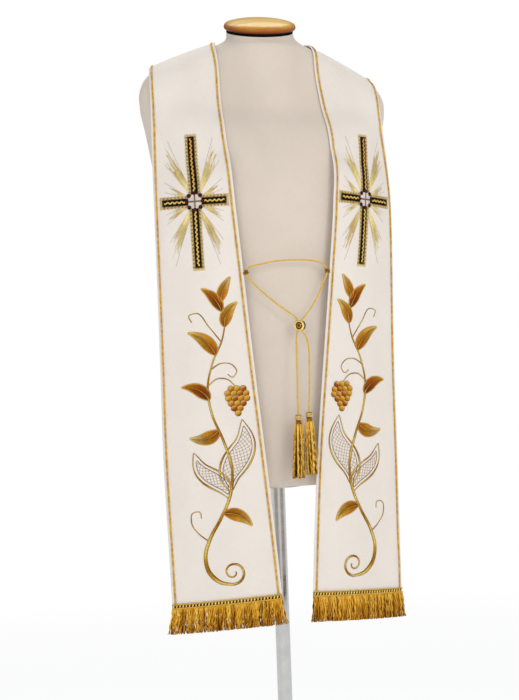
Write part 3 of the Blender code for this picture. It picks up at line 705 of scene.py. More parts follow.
def wood_look():
    """Lacquered beech: long soft bands, short dark flecks and pores under a clear coat."""
    look = Look("beech_finish", Roughness=0.45, Specular_IOR_Level=0.08, Coat_Weight=0.3,
                Coat_Roughness=0.28)
    place = look.place()
    bend = look.noise(look.stretched(place, (3.0, 9.0, 9.0)), 1.0)
    shift = look.add("CombineXYZ", {"X": bend, "Y": look.math("MULTIPLY", bend, 3.0), "Z": bend})
    warped = look.add("VectorMath", {0: look.stretched(place, (6.0, 62.0, 62.0)),
                                     1: shift.outputs[0]}, operation="ADD")
    bands = look.noise(warped.outputs[0], 1.0, detail=4.0, roughness=0.62)
    fleck = look.noise(look.stretched(place, (90.0, 900.0, 700.0)), 1.0, detail=1.0)
    ramp = look.add("ValToRGB", {"Fac": bands})
    for stop, at, colour in zip(ramp.color_ramp.elements, (0.34, 0.66),
                                ((0.61, 0.335, 0.058, 1), (0.81, 0.55, 0.125, 1))):
        stop.position, stop.color = at, colour
    grained = look.tinted(ramp.outputs["Color"], look.ramp(fleck, 1.0, 0.62, 0.62, 0.78))
    # The colour on the points darkens the cap and the base towards their feet as painted shade.
    look.vary("Base Color", look.stretched(grained, look.painted()))
    look.vary("Roughness", look.ramp(bands, 0.50, 0.40))
    look.bump(look.math("ADD", bands, look.math("MULTIPLY", fleck, -0.4)), 0.00015, 0.5)
    return look.material


def metal_look(name, colour, roughness, brushed, painted=False):
    """Turned and polished metal, or brushed along its length, with faint handling marks."""
    look = Look(name, Metallic=1.0, Roughness=roughness)
    place = look.place()
    streak = look.noise(look.stretched(place, (2600.0, 2600.0, 40.0) if brushed else
                                       (900.0, 900.0, 900.0)), 1.0)
    smudge = look.noise(place, 60.0, detail=3.0)
    tone = look.tinted(colour, look.ramp(smudge, 0.9, 1.06))
    # On the slider the colour on the points is painted shade in the hollows and over the back.
    look.vary("Base Color", look.stretched(tone, look.painted()) if painted else tone)
    look.vary("Roughness", look.math("ADD", look.ramp(streak, -0.05, 0.06),
                                     look.ramp(smudge, roughness - 0.04, roughness + 0.1)))
    look.bump(streak, 0.00002, 0.5)
    return look.material


def glass_look():
    """Deep red glass, a little lighter where it is thin."""
    look = Look("garnet_glass", Roughness=0.08, Coat_Weight=1.0)
    depth = look.noise(look.place(), 700.0)
    look.vary("Base Color", look.tinted((0.13, 0.005, 0.008), look.ramp(depth, 0.5, 1.5)))
    return look.material


def felt_look():
    """Matt black felt with a fine fibre."""
    look = Look("black_felt", Roughness=1.0, Specular_IOR_Level=0.05)
    fibre = look.noise(look.place(), 1400.0, detail=3.0)
    look.vary("Base Color", look.tinted((0.005, 0.004, 0.004), look.ramp(fibre, 0.5, 1.6)))
    look.bump(fibre, 0.0003, 0.8)
    return look.material


# ---- stole cloth -----------------------------------------------------------------------------
def build_cloth(half, look):
    """Shell of the half: a rounded turned edge, and a shallow channel under each edge cord."""
    rows = np.concatenate([[0, 1.0, 2.4], np.linspace(4.4, LENGTH - 2.4,
                                                      round(LENGTH / CLOTH_ROW)),
                           [LENGTH - 1.2, LENGTH - 0.5, LENGTH]])
    width = band_width(rows)[:, None]
    near = np.array(EDGE_STEPS) / width
    inner = round((USUAL_WIDTH - 2 * EDGE_STEPS[-1]) / CLOTH_ROW)
    middle = np.linspace(0, 1, inner + 1)[1:-1]
    start = near[:, -1:]
    shares = np.hstack([near, start + (1 - 2 * start) * middle, 1 - near[:, ::-1]])
    run = np.repeat(rows[:, None], shares.shape[1], axis=1)
    points, normals = half.at(run, shares)
    from_edge = np.minimum(shares, 1 - shares) * width
    hem = LENGTH - run
    face = np.interp(from_edge, *zip(*EDGE_PROFILE)) * CLOTH / 2
    hem_round = np.interp(hem, (0, 0.5, 1.2, 2.4), (0.3, 0.78, 0.95, 1.0))
    seam_dip = np.interp(run, (0, 1.0, 2.4, 5.0), (0.45, 0.75, 1.0, 1.0))
    front = face * hem_round * seam_dip
    bare = np.interp(from_edge, (0, 0.5, 1.2, 2.2), (0.30, 0.78, 0.95, 1.0))
    back = bare * CLOTH / 2 * hem_round
    outer, inner_face = points + normals * front[..., None], points - normals * back[..., None]
    outer[0, :, 0] = inner_face[0, :, 0] = half.side * SEAM / 2
    count = points.shape[0] * points.shape[1]
    index = np.arange(count).reshape(points.shape[:2])
    top = grid_faces(*points.shape[:2])
    rim = np.concatenate([index[0, :], index[1:, -1], index[-1, -2::-1], index[-2:0:-1, 0]])
    after = np.roll(rim, -1)
    walls = np.stack([rim, rim + count, after + count, after], axis=-1)
    across = np.cumsum(np.concatenate([np.zeros((len(rows), 1)),
                                       np.diff(shares, axis=1) * width], axis=1), axis=1)
    lay = np.stack([across, run, np.zeros_like(run)], axis=-1).reshape(-1, 3)
    piece = add_piece(f"stole_cloth_{half.label}",
                      np.concatenate([outer.reshape(-1, 3), inner_face.reshape(-1, 3)]),
                      [np.concatenate([top, top[:, ::-1] + count, walls])], look, "ivory_cloth",
                      lay=np.concatenate([lay, lay]))
    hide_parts(f"stole_{half.label}")
    return piece


def build_edge_cords(half, gold, draw):
    """Twisted gold cord couched along each edge, down to the fringe's heading."""
    run = np.linspace(0, LENGTH - HEADING - GAP, round((LENGTH - HEADING) / CORD_STATION))
    inset = (EDGE_CORD_INSET + EDGE_CORD / 2) / band_width(run)
    radius = EDGE_CORD / 2 * 0.86
    marks = np.arange(0, LENGTH + WEAR_STEP, WEAR_STEP)
    for place, share in (("inner", inset), ("outer", 1 - inset)):
        path, normals = half.at(run, share)
        path = path + normals * (CHANNEL * CLOTH / 2 + radius * EDGE_CORD_FLAT)
        path[0, 0] = half.side * SEAM / 2
        points, faces, colours = twisted(path, normals, radius, EDGE_CORD_PITCH,
                                         flat=EDGE_CORD_FLAT, bright=(0.84, 0.50, 0.075))
        tone_and_painted_shade = 0.76 + 0.46 * draw.random(len(marks))
        tone = np.interp(run, marks, tone_and_painted_shade)[:, None, None] ** np.array([1.0, 1.25, 1.6])
        colours = (colours.reshape(3, len(run), -1, 3) * tone).reshape(-1, 3)
        piece = add_piece(f"gold_edge_cord_{place}_{half.label}", points, faces, gold,
                          "gold_thread", colours)
        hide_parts(f"edge_cord_{place}_{half.label}")


# ---- fringe ----------------------------------------------------------------------------------
def strands(paths, radii, sides=3, twist=0.0):
    """Points and faces of hanging strands: paths of lines x stations x 3, radii to match.

    twist is the turn of the section from each station to the next."""
    roll = circle(sides) + twist * np.arange(paths.shape[1])[:, None]
    points = paths[:, :, None] + polar(1.0, roll) * radii[:, :, None, None]
    return points.reshape(-1, 3), tube_faces(paths.shape[0], paths.shape[1], sides)


def beads(middles, along, up, out, sizes):
    """Small six-sided rounds, each set by three directions and half sizes along them."""
    level = np.array([-0.98, -0.55, 0.0, 0.55, 0.98])[:, None]
    shape = polar(np.sqrt(1 - level**2), circle(6), level)[..., [0, 2, 1]] * sizes
    axes = np.stack([along, up, out], axis=1)
    points = middles[:, None, None] + np.einsum("rsk,nkc->nrsc", shape, axes)
    return points.reshape(-1, 3), tube_faces(len(middles), len(level), 6)


def fringe_heading(half, draw):
    """Parts of the woven heading: a band painted dark as the shade behind the posts, cords over
    it, bright posts and scallops.
    """
    face, top, foot, cells = CLOTH / 2, LENGTH - HEADING, LENGTH, 110
    share = np.linspace(0.002, 0.998, cells + 1)
    rows = np.array([top + 0.4, foot])[:, None]
    points, normals = half.at(np.repeat(rows, cells + 1, axis=1), share[None, :])
    shell = np.concatenate([(points + normals * (face + GAP / 2)).reshape(-1, 3),
                            (points + normals * (face + 0.8)).reshape(-1, 3)])
    count = 2 * (cells + 1)
    quads = grid_faces(2, cells + 1)
    rim = np.concatenate([np.arange(cells + 1), np.arange(count - 1, cells, -1)])
    after = np.roll(rim, -1)
    walls = np.stack([rim, after, after + count, rim + count], axis=-1)
    # The band under the posts is painted dark, as the shade in the openings between them.
    parts = [(shell, [np.concatenate([quads[:, ::-1], quads + count, walls])],
              plain(UMBER, shell) * 0.6)]

    # A cord along the top and two along the foot: run, radius and tone of the shadows.
    width = float(band_width(np.array(foot)))
    fine = np.linspace(0, 1, round(width / 0.8))
    for run, radius, deep in ((top + 0.9, 1.1, 0.5), (foot - 1.4, 0.9, 0.62),
                              (foot + 0.1, 0.85, 0.4)):
        path, normals = half.at(run, fine)
        parts.append(twisted(path + normals * (face + 0.8 + radius), normals, radius, 4.0,
                             strands=2, sides=5, bright=BRIGHT, deep=gilding(deep) * WARM))
    posts = (np.arange(round(width / POST_PITCH)) + 0.5) / round(width / POST_PITCH)
    run = top + 4.6
    middle, out = half.at(run, posts)
    along = unit(half.at(run, posts + 0.004)[0] - middle)
    up = unit(np.cross(out, along) + 0.22 * along)
    up *= np.sign(up[:, 2:])
    points, faces = beads(middle + out * (face + 1.3), along, up, out, (1.5, 2.7, 1.25))
    tint = gilding(0.8 + 0.3 * draw.random((len(posts), 1)) * np.ones((1, 30)))
    parts.append((points, faces, tint.reshape(-1, 3)))
    scallop = np.abs(np.sin(math.pi * fine * width / POST_PITCH))
    path, normals = half.at(top + 3.4 - 1.3 * scallop, fine)
    parts.append(twisted(path + normals * (face + 1.5), normals, 0.55, 2.2, strands=2, sides=4,
                         bright=BRIGHT))
    return parts


def fringe_yarns(half, draw):
    """Crimped yarns in four layers; the front ones are brighter, as the back ones carry painted
    shade, and part further down.
    """
    count, sides, bunches = FRINGE_YARNS, 4, 90
    root = (np.arange(count) + draw.random(count)) / count
    layer = draw.permutation(np.arange(count) % FRINGE_LAYERS)
    start, normals = half.at(np.full(count, LENGTH + 0.4), root)
    start = start + normals * (CLOTH / 2 + 0.25 + 0.62 * layer)[:, None]
    ahead, behind = (half.at(np.full(count, LENGTH), np.clip(root + step, 0, 1))[0]
                     for step in (0.01, -0.01))
    across = unit((ahead - behind) * (1, 1, 0))
    t = np.linspace(0, 1, FRINGE_STATIONS)
    drop = FRINGE_DROP * (0.985 + 0.05 * draw.random(count)) * np.where(
        draw.random(count) < 0.08, 0.86, 1.0)
    wide = 2 * root - 1
    lock = np.sin(root * 73 + half.side) + 0.8 * np.sin(root * 171 + 2.0)
    stray = np.where(draw.random(count) < 0.03, draw.normal(0, 3.5, count), 0)
    lean = (FRINGE_SPLAY * np.sign(wide) * np.abs(wide) ** 9 * (0.8 + 0.6 * draw.random(count))
            + 1.2 * lock + draw.normal(0, 1.6, count) + stray)
    waves = 1.3 + 1.5 * draw.random((count, 1))
    phase = draw.random((count, 1)) * 2 * math.pi
    size = np.minimum(1, 5 * t)
    crimp = 0.8 * np.sin(2 * math.pi * waves * t + phase) * size
    sway = 0.5 * np.cos(2 * math.pi * waves * t * 0.9 + phase) * size
    paths = start[:, None] + across[:, None] * (lean[:, None] * t**1.5 + crimp)[..., None]
    bulge = (0.5 + 0.35 * layer[:, None]) * np.sin(math.pi * np.minimum(t * 1.6, 1))
    paths = paths + normals[:, None] * (sway + bulge
                                        + draw.normal(0, 0.8, (count, 1)) * t)[..., None]
    paths[..., 2] = start[:, None, 2] - drop[:, None] * t
    radii = np.repeat(0.58 + 0.22 * draw.random((count, 1)), len(t), axis=1)
    radii *= np.interp(t, (0, 0.93, 1), (1, 1, 0.75))
    points, faces = strands(paths, radii, sides, 0.8)
    bunch = draw.normal(0, 0.15, bunches)[(root * bunches).astype(int)]
    # Painted shade on the back layers and painted gleams along each crimp, brighter near the
    # heading, over a random tone for each yarn and bunch.
    tone = (0.04 + 0.15 * layer[:, None] + 0.17 * draw.normal(0, 1, (count, 1))
            + bunch[:, None] + 0.15 * np.sin(2 * math.pi * waves * t + phase + 0.9)
            + 0.36 * (1 - t) ** 2)
    tint = gilding(np.clip(tone, 0.02, 0.93)) * WARM
    return points, faces, np.repeat(tint.reshape(-1, 3), sides, axis=0)


def build_fringe(half, gold, draw):
    """Woven heading and the yarns that hang from it."""
    parts = fringe_heading(half, draw) + [fringe_yarns(half, draw)]
    piece = add_joined(f"gold_fringe_{half.label}", parts, gold, "gold_thread")
    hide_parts(f"fringe_{half.label}")
    return piece


# ---- embroidery ------------------------------------------------------------------------------
class Threads:
    """Threads gathered as lines over the hanging cloth, then laid on it as one mesh."""

    def __init__(self, half):
        self.half = half
        self.lines = {}

    def add(self, x, z, lift, colour, width=0.7):
        """Lines as rows of x off the middle, height z, and lift of the crest off the cloth.

        colour is one for all, for each row, or for each row and station, and width is the
        threads' own."""
        x, z, lift = np.broadcast_arrays(np.atleast_2d(x), np.atleast_2d(z), np.atleast_2d(lift))
        colour = np.asarray(colour, float)
        if colour.ndim < 3:
            colour = np.atleast_2d(colour)[:, None]
        self.lines.setdefault(x.shape[1], []).append(
            (x, z, lift, np.broadcast_to(colour, x.shape + (3,)),
             np.broadcast_to(width, (len(x),))))

    def meshes(self):
        """Points, faces and colours of the lines, as low ridges."""
        for stations, rows in self.lines.items():
            x, z, lift, colour, width = (np.concatenate(part) for part in zip(*rows))
            points, normals = self.half.place(x, z)
            ahead = unit(np.gradient(points, axis=1))
            side = unit(np.cross(normals, ahead)) * width[:, None, None] / 2
            face = points + normals * (CLOTH / 2 + THREAD_CLEAR)
            crest = face + normals * lift[..., None]
            foot = face + normals * np.maximum(lift - THREAD_DEEP, 0)[..., None]
            rings = np.stack([foot - side, crest, foot + side], axis=2)
            # Painted shade: each thread darker along its two feet than along its crest.
            tints = colour[:, :, None] * np.array([0.72, 1.0, 0.72])[:, None]
            yield (rings.reshape(-1, 3), tube_faces(len(x), stations, 3), tints.reshape(-1, 3))

    def build(self, name, look, slot):
        return add_joined(name, self.meshes(), look, slot)


def arch(stations, low, high):
    """Lift of a satin stitch: sunk at both ends and padded in the middle."""
    return low + (high - low) * np.sin(np.linspace(0, math.pi, stations)) ** 0.6


def varied(draw, colour, count, spread=0.12):
    """Colours near one colour or near each of several, as threads catch the light."""
    return np.clip(np.asarray(colour) * (1 + spread * draw.normal(0, 1, (count, 1))), 0, 1)


def satin(threads, draw, left, right, colours, pitch=0.64, high=0.9, stations=5, slant=0.0,
          spread=0.12, fade=(1.0, 1.0)):
    """Satin stitches between two rails; colours is one, or a function of the share along.

    fade gives the brightness at the left and the right rail, as painted light and shade across
    each stitch, and slant leans each stitch."""
    run = lengths((left + right) / 2)
    count = max(3, round(run[-1] / pitch))
    marks = (np.arange(count) + 0.5) / count * run[-1]
    drift = slant * pitch * 2

    def rail(line, offset):
        where = np.clip(marks + offset + draw.normal(0, 0.12 * pitch, count), 0, run[-1])
        return rows_at(where, run, line)

    start, end = rail(left, -drift), rail(right, drift)
    t = np.linspace(0, 1, stations)
    path = start[:, None] * (1 - t[:, None]) + end[:, None] * t[:, None]
    base = colours(marks / run[-1]) if callable(colours) else colours
    tints = varied(draw, base, count, spread)[:, None] * np.interp(t, (0, 1), fade)[:, None]
    span = np.linalg.norm(end - start, axis=-1)[:, None]
    lift = arch(stations, 0.12, 1.0)[None, :] * np.clip(span / 4, 0.45, 1) * high
    threads.add(path[..., 0], path[..., 1], lift, np.clip(tints, 0, 1), width=pitch * 1.35)


def square_to(path):
    """Unit normals of a flat path, to its left."""
    ahead = unit(np.gradient(path, axis=0))
    return np.stack([-ahead[:, 1], ahead[:, 0]], axis=-1)


def line_of(threads, path, width, lift, colour, step=1.3):
    """One laid thread along a path; colour is one, or a function of the share along."""
    path = spaced(path, step)
    tint = colour(np.linspace(0, 1, len(path)))[None] if callable(colour) else colour
    threads.add(path[:, 0], path[:, 1], lift, tint, width=width)


def scroll(threads, draw, path, widths, gleams, phase=0.0, stations=3):
    """Line of satin in gold that swells and thins, with painted gleam and shade by turns along it,
    and painted shade over one side and along the other edge.

    widths are (share, width) pairs and gleams the number of painted bright stretches."""
    path = spaced(path, 1.2)
    share = np.linspace(0, 1, len(path))
    aside = square_to(path) * (np.interp(share, *zip(*widths)) / 2)[:, None]

    # Painted light: the tone swings from gleam to shade along the line, and one side's outer half
    # and the line along the other edge are darker as painted shade.
    def tone(where, shift=0.0):
        wave = np.sin(2 * math.pi * (gleams * where + phase + shift))
        return gilding(np.clip(0.80 + 0.32 * wave, 0.05, 1.0))
    satin(threads, draw, path - aside, path + aside * 0.4, tone, pitch=0.8, high=1.0,
          stations=stations)
    satin(threads, draw, path + aside * 0.35, path + aside,
          lambda where: tone(where, 0.22) * 0.55, pitch=0.9, high=0.7, stations=3)
    line_of(threads, path - aside * 1.06, 0.5, 0.5, lambda where: tone(where, 0.3) * 0.6)


class CrossThreads(Threads):
    """Threads given by u along the cloth and v up the cross, from its centre."""

    def __init__(self, half):
        super().__init__(half)
        row = smooth_lookup(STATIONS, LENGTH + STATIONS[-1].inner_z - CROSS_AT[1])
        self.sideways = (row[3] - row[0]) / math.hypot(row[3] - row[0], row[4] - row[1])
        self.lean = CROSS_LEAN[half.label]
        self.bend = np.polyfit(*zip(*CROSS_BENDS[half.label]), 2)

    def add(self, x, z, lift, colour, width=0.7):
        u, v = np.asarray(x, float) * self.sideways, np.asarray(z, float)
        super().add(CROSS_AT[0] + u * math.cos(self.lean) + v * math.sin(self.lean)
                    + np.polyval(self.bend, v),
                    CROSS_AT[1] + v * math.cos(self.lean) - u * math.sin(self.lean),
                    lift, colour, width)


def cross_arm(core, bound, draw, heading, reach):
    """One arm: dark satin with a gold zigzag over it, its edges and end bound in gold."""
    heading = np.array(heading, float)
    aside = np.array([-heading[1], heading[0]])
    start, tip = 10, reach - TIP_INSET
    t = np.linspace(0, 1, 4)
    edging = {"lift": arch(4, 0.2, 0.8), "width": 0.8}

    def spots(walk, off):
        """Places at distances out along the arm and off its middle line."""
        return heading[0] * walk + aside[0] * off, heading[1] * walk + aside[1] * off

    def rail(off, first, last):
        return np.stack(spots(np.linspace(first, last, 40), off), axis=-1)

    satin(core, draw, rail(-HALF_CORE, 4, tip), rail(HALF_CORE, 4, tip), BLACK, high=1.0,
          spread=0.5)
    waves = round((tip - ROUNDEL) / ZIGZAG_PITCH)
    along = np.linspace(ROUNDEL - 1, tip - 2.4, waves * 12 + 1)
    wave = np.linspace(0, 2 * math.pi * waves, len(along))
    x, z = spots(along, ZIGZAG_SWING * np.sin(wave))
    warm = np.array([0.0, 0.35, 0.5]) * (heading[1] > 0) * (along / reach)[:, None]
    # Painted light on the zigzag: brighter and darker with its swing, and its second strand darker
    # as painted shade.
    for shift, tone in ((-0.6, 1.0), (0.6, 0.92)):
        tint = gilding(tone + 0.10 * np.cos(wave + 2.0)) * (1.04 - warm)
        bound.add(x + aside[0] * shift, z + aside[1] * shift, 2.2 - abs(shift) * 0.4,
                  tint[None], width=1.4)
    for flip in (-1, 1):
        satin(bound, draw, rail(flip * HALF_CORE, start, tip),
              rail(flip * (HALF_CORE + 1.1), start, tip + 1), np.array(TAN) * 0.75, high=0.9,
              pitch=0.9, stations=3, spread=0.2)
        count = round((reach - start) / 0.7)
        marks = np.linspace(start, reach - 0.3, count)[:, None]
        beat = 0.5 + 0.5 * np.cos(2 * math.pi * marks / BEAT_PITCH)
        inner, outer = flip * (HALF_CORE + 1.0), flip * (HALF_BAR - 1.2 + 2.0 * beat)
        walk = np.minimum(marks + (t - 0.5) * 3.0, reach + 0.6)
        tint = blend(TAN, PALE_GOLD, np.clip(1.5 * beat - 0.35 + 0.4 * t, 0, 1))
        deep = 1 - (1 - np.array([0.62, 0.50, 0.28])) * ((1 - beat)**2 * t)[..., None]
        tint = tint * deep * varied(draw, (1, 1, 1), count, 0.08)[:, None]
        bound.add(*spots(walk, inner + (outer - inner) * t), colour=np.clip(tint, 0, 1),
                  **edging)
    corners = np.stack(spots(tip + 0.3, np.array([-HALF_CORE, HALF_CORE])), axis=-1)
    line_of(bound, corners, 1.3, 1.9, np.array(TAN) * 0.3)
    ends = np.linspace(-HALF_BAR + 0.6, HALF_BAR - 0.6, 32)[:, None]
    walk = tip + (reach - tip + 0.5 + 0.9 * np.cos(ends * 1.1)) * t
    tint = blend(TAN, PALE_GOLD, np.clip(t * 1.5, 0, 1))[None] * np.ones((len(ends), 1, 1))
    bound.add(*spots(walk, ends), colour=tint, **edging)


def cross_roundel(core, bound, draw):
    """Pearl satin, a bronze cross over it and eight garnet knots round it."""
    petal = ROUNDEL - 1.4
    rows = np.linspace(-petal + 0.4, petal - 0.4, 34)
    chord = np.sqrt(petal**2 - rows**2)
    t = np.linspace(-1, 1, 9)
    core.add(chord[:, None] * t, np.repeat(rows[:, None], 9, axis=1), arch(9, 1.1, 1.9),
             varied(draw, PEARL, len(rows), 0.02), width=0.92)
    for turn in (0, math.pi / 2):
        for offset in (-0.8, 0.0, 0.8):
            ends = np.array([[-10.6, offset], [10.6, offset]]) @ np.array(
                [[math.cos(turn), math.sin(turn)], [-math.sin(turn), math.cos(turn)]])
            line_of(bound, ends, 1.1, 2.6 - abs(offset) * 0.4, np.array(TAN) * 0.6)
    roll = np.linspace(0, 2 * math.pi, 13)
    for knot in range(8):
        angle = math.pi / 4 * knot
        x, z = ROUNDEL * math.cos(angle), ROUNDEL * math.sin(angle)
        # Painted highlight: each garnet knot lighter towards its raised middle.
        for ring, (radius, lift) in enumerate(((2.8, 2.1), (1.8, 2.8), (0.7, 3.2))):
            core.add(x + radius * np.cos(roll), z + radius * np.sin(roll), lift,
                     np.array(GARNET) * (0.7 + 0.7 * ring), width=1.5)


def cross_fan(core, draw, out, up, fan):
    """Pale gold threads of uneven length between two thin grey rays; out and up are signs."""
    for angle, reach in ((fan.first, fan.far), (fan.last, fan.near)):
        direction = np.array([out * math.sin(math.radians(angle)),
                              up * math.cos(math.radians(angle))])
        line_of(core, direction * np.array([[18.0], [reach]]), 0.5, 0.4, MIST, step=5)
    count = fan.threads
    share = (np.arange(count) + 0.5) / count
    angle = np.radians(fan.first + (fan.last - fan.first) * share)
    longest = fan.far * np.interp(share, (0, 0.22, 0.45, 0.75, 1), (0.72, 0.97, 0.88, 0.74, 0.56))
    reach = longest * (0.60 + 0.40 * draw.random(count))
    start = (HALF_BAR + 0.4) / (np.sin(angle) if fan.first < 45 else np.cos(angle))
    start = np.minimum(np.maximum(start, 14), reach - 8)
    t = np.linspace(0, 1, 8)
    walk = start[:, None] + (reach - start)[:, None] * t
    tint = varied(draw, RAY, count, 0.13)[:, None] * (
        1 - (1 - np.array([0.96, 0.86, 0.62])) * t[:, None])
    core.add(out * np.sin(angle)[:, None] * walk, up * np.cos(angle)[:, None] * walk,
             0.30 + 0.2 * draw.random((count, 1)) * np.ones(8), tint,
             width=0.45 + 0.2 * draw.random(count))


def build_cross(half, silk, gold, draw):
    """Latin cross with a roundel, and in each quarter a long and a short fan of rays."""
    core, bound = CrossThreads(half), CrossThreads(half)
    for heading, reach in (((0, 1), CROSS_UP), ((0, -1), CROSS_DOWN), ((1, 0), CROSS_ARM),
                           ((-1, 0), CROSS_ARM)):
        cross_arm(core, bound, draw, heading, reach)
    cross_roundel(core, bound, draw)
    for up in (1, -1):
        for out in (1, -1):
            for fan in FANS:
                cross_fan(core, draw, out, up, fan)
    piece = core.build(f"cross_core_{half.label}", silk, "dark_thread")
    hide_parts(f"cross_{half.label}")
    bound.build(f"cross_gold_{half.label}", gold, "gold_thread")


def midrib(base, tip, t, sway):
    """Line from base to tip at shares t, which strays aside by sway."""
    base, tip = np.asarray(base, float), np.asarray(tip, float)
    axis = tip - base
    aside = np.array([-axis[1], axis[0]]) / np.linalg.norm(axis)
    return base + axis * t[:, None] + aside * sway[:, None]


def leaf(threads, gilt, draw, base, tip, width, bend, tones):
    """Pointed leaf in two satin blades, brown by the midrib as painted shade, one blade darker
    than the other, and bright at the tip.
    """
    t = np.linspace(0, 1, 36)
    rib = midrib(base, tip, t, bend * 4 * t * (1 - t))
    swell = width * np.sin(math.pi * t**0.8) ** 0.85 * (1 - 0.25 * t)
    square = square_to(rib)
    for flip in (-1, 1):
        edge = rib + square * (flip * swell)[:, None]
        # Painted shade: each blade darker towards the midrib than at its edge, and the blade on
        # one side darker than the other.
        satin(threads, draw, rib + square * flip * 0.25, edge,
              lambda share: rows_at(share, (0, 0.45, 1), tones), slant=1.8, high=0.85,
              fade=(0.55, 1.1) if flip > 0 else (0.4, 0.85))
        for shift, glow in ((0.0, 0.75), (0.9, 0.45)):
            line_of(gilt, edge + square * flip * shift, 1.0, 1.0 - 0.4 * shift,
                    lambda share: gilding(glow + 0.3 * share), step=1.6)
    line_of(gilt, rib[2:-3], 1.0, 1.0, lambda share: gilding(0.95 - 0.5 * share))


def netted_leaf(gilt, draw, base, tip, width, bend, mesh):
    """Large open leaf: a bold gold edge, a fine brown one within and a couched net."""
    t = np.linspace(0, 1, 60)
    rib = midrib(base, tip, t, bend * np.sin(2.2 * math.pi * t))
    length = np.linalg.norm(np.subtract(tip, base))
    swell = width * np.sin(math.pi * t**0.85) ** 0.9
    square = square_to(rib)
    inner = swell - NET_INSET
    kept = inner > 0.3
    for flip in (-1, 1):
        edge = rib + square * (flip * swell)[:, None]
        scroll(gilt, draw, edge, ((0, 1.4), (0.4, 3.2), (1, 1.2)), 1.5, 0.25 + 0.3 * flip)
        line_of(gilt, (rib + square * (flip * inner)[:, None])[kept], 1.0, 0.6, RUST_BROWN)
    walk = np.linspace(-width, width, 120)
    for slope in (-1, 1):
        for offset in np.arange(-length * 0.2, length * 1.2, mesh):
            u = (offset + slope * walk * 1.1) / length
            inside = np.abs(walk) < np.interp(u, t, inner, left=-1, right=-1)
            if inside.sum() > 6:        # shorter ones would hardly show
                spot = rows_at(u * length, lengths(rib), rib) + walk[:, None] * rows_at(
                    u, t, square)
                line_of(gilt, spot[inside], 0.55, 0.42, TAN, step=3)


def grape(threads, gilt, centre, ripe):
    """Round berry in satin, lit from one side, with a fine brown rim."""
    radius = GRAPE_RADIUS
    rows = np.linspace(-0.92, 0.92, 13)[:, None] * radius
    chord = np.sqrt(radius**2 - rows**2)
    tilt, across = np.array([0.83, 0.56]), np.array([-0.56, 0.83])
    t = np.linspace(-1, 1, 7)
    x = tilt[0] * chord * t + across[0] * rows
    z = tilt[1] * chord * t + across[1] * rows
    light = np.clip(0.52 + 0.5 * (0.5 * x + 0.85 * z) / radius, 0, 1)
    threads.add(centre[0] + x, centre[1] + z, arch(7, 0.4, 1.5),
                rows_at(light, (0, 0.5, 1), (RUST_BROWN, ripe, BRIGHT)), width=radius * 0.22)
    roll = np.linspace(0, 2 * math.pi, 21)
    gilt.add(centre[0] + radius * np.cos(roll), centre[1] + radius * np.sin(roll), 0.7,
             RUST_BROWN, width=0.7)


def curl(centre, radius, start, turns):
    """Spiral that winds in from a start angle, in turns of a circle, to a fifth of its radius."""
    share = np.linspace(0, 1, 60)
    angle = start + 2 * math.pi * turns * share
    reach = radius * (1 - 0.8 * share)
    return np.stack([centre[0] + reach * np.cos(angle),
                     centre[1] + reach * np.sin(angle)], axis=-1)


def build_vine(half, silk, gold, draw):
    """Vine scroll up the lower half of the band: stem, leaves, tendrils and a grape bunch."""
    threads, gilt = Threads(half), Threads(half)
    scroll(gilt, draw, smooth_route(VINE, 2.0),
           ((0, 4.2), (0.06, 7.0), (0.2, 5.0), (0.6, 3.6), (1, 1.6)), 6.5, 0.1, stations=4)
    scroll(gilt, draw, curl((104, 664), 20, -math.pi / 2, -1.3), ((0, 4.2), (0.5, 3.4), (1, 1.8)),
           2.5, 0.3, stations=4)
    for sizes in LEAVES:
        leaf(threads, gilt, draw, *sizes)
    for sizes in NETTED_LEAVES:
        netted_leaf(gilt, draw, *sizes)
    for route in TENDRILS:
        scroll(gilt, draw, smooth_route(route, 1.5), ((0, 1.8), (1, 1.3)), 2.2, 0.4)
    scroll(gilt, draw, smooth_route(BUNCH_STALK, 1.5), ((0, 2.0), (1, 1.5)), 1.2)
    for row, count in enumerate(BUNCH_ROWS):
        for k in range(count):
            centre = (BUNCH_TOP[0] + (k - (count - 1) / 2) * 2 * GRAPE_RADIUS * 0.97
                      + 0.8 * math.sin(row * 2.2), BUNCH_TOP[1] - row * GRAPE_RADIUS * 1.62)
            grape(threads, gilt, centre, (RUST, AMBER, GOLD)[(row + 2 * k) % 3])
    threads.build(f"vine_silk_{half.label}", silk, "gold_thread")
    gilt.build(f"vine_gold_{half.label}", gold, "gold_thread")


# ---- tie cord, rings, slider and tassels -------------------------------------------------------
def ring_middle(side):
    """Middle of the thread ring on that side, just off the inner edge."""
    edge = band_points(side, np.array([RING_RUN]), np.array([0.0]))[0]
    within = band_points(side, np.array([RING_RUN]), np.array([0.1]))[0]
    return edge + unit(edge - within) * (RING_RADIUS + RING_THREAD + GAP)


def hole_middle(side):
    """Middle of the slider's hole for the cord on that side."""
    across = np.array([math.cos(SLIDER_TURN), -math.sin(SLIDER_TURN), 0.0])
    return np.array(SLIDER_AT) + across * HOLE_OFFSET * side


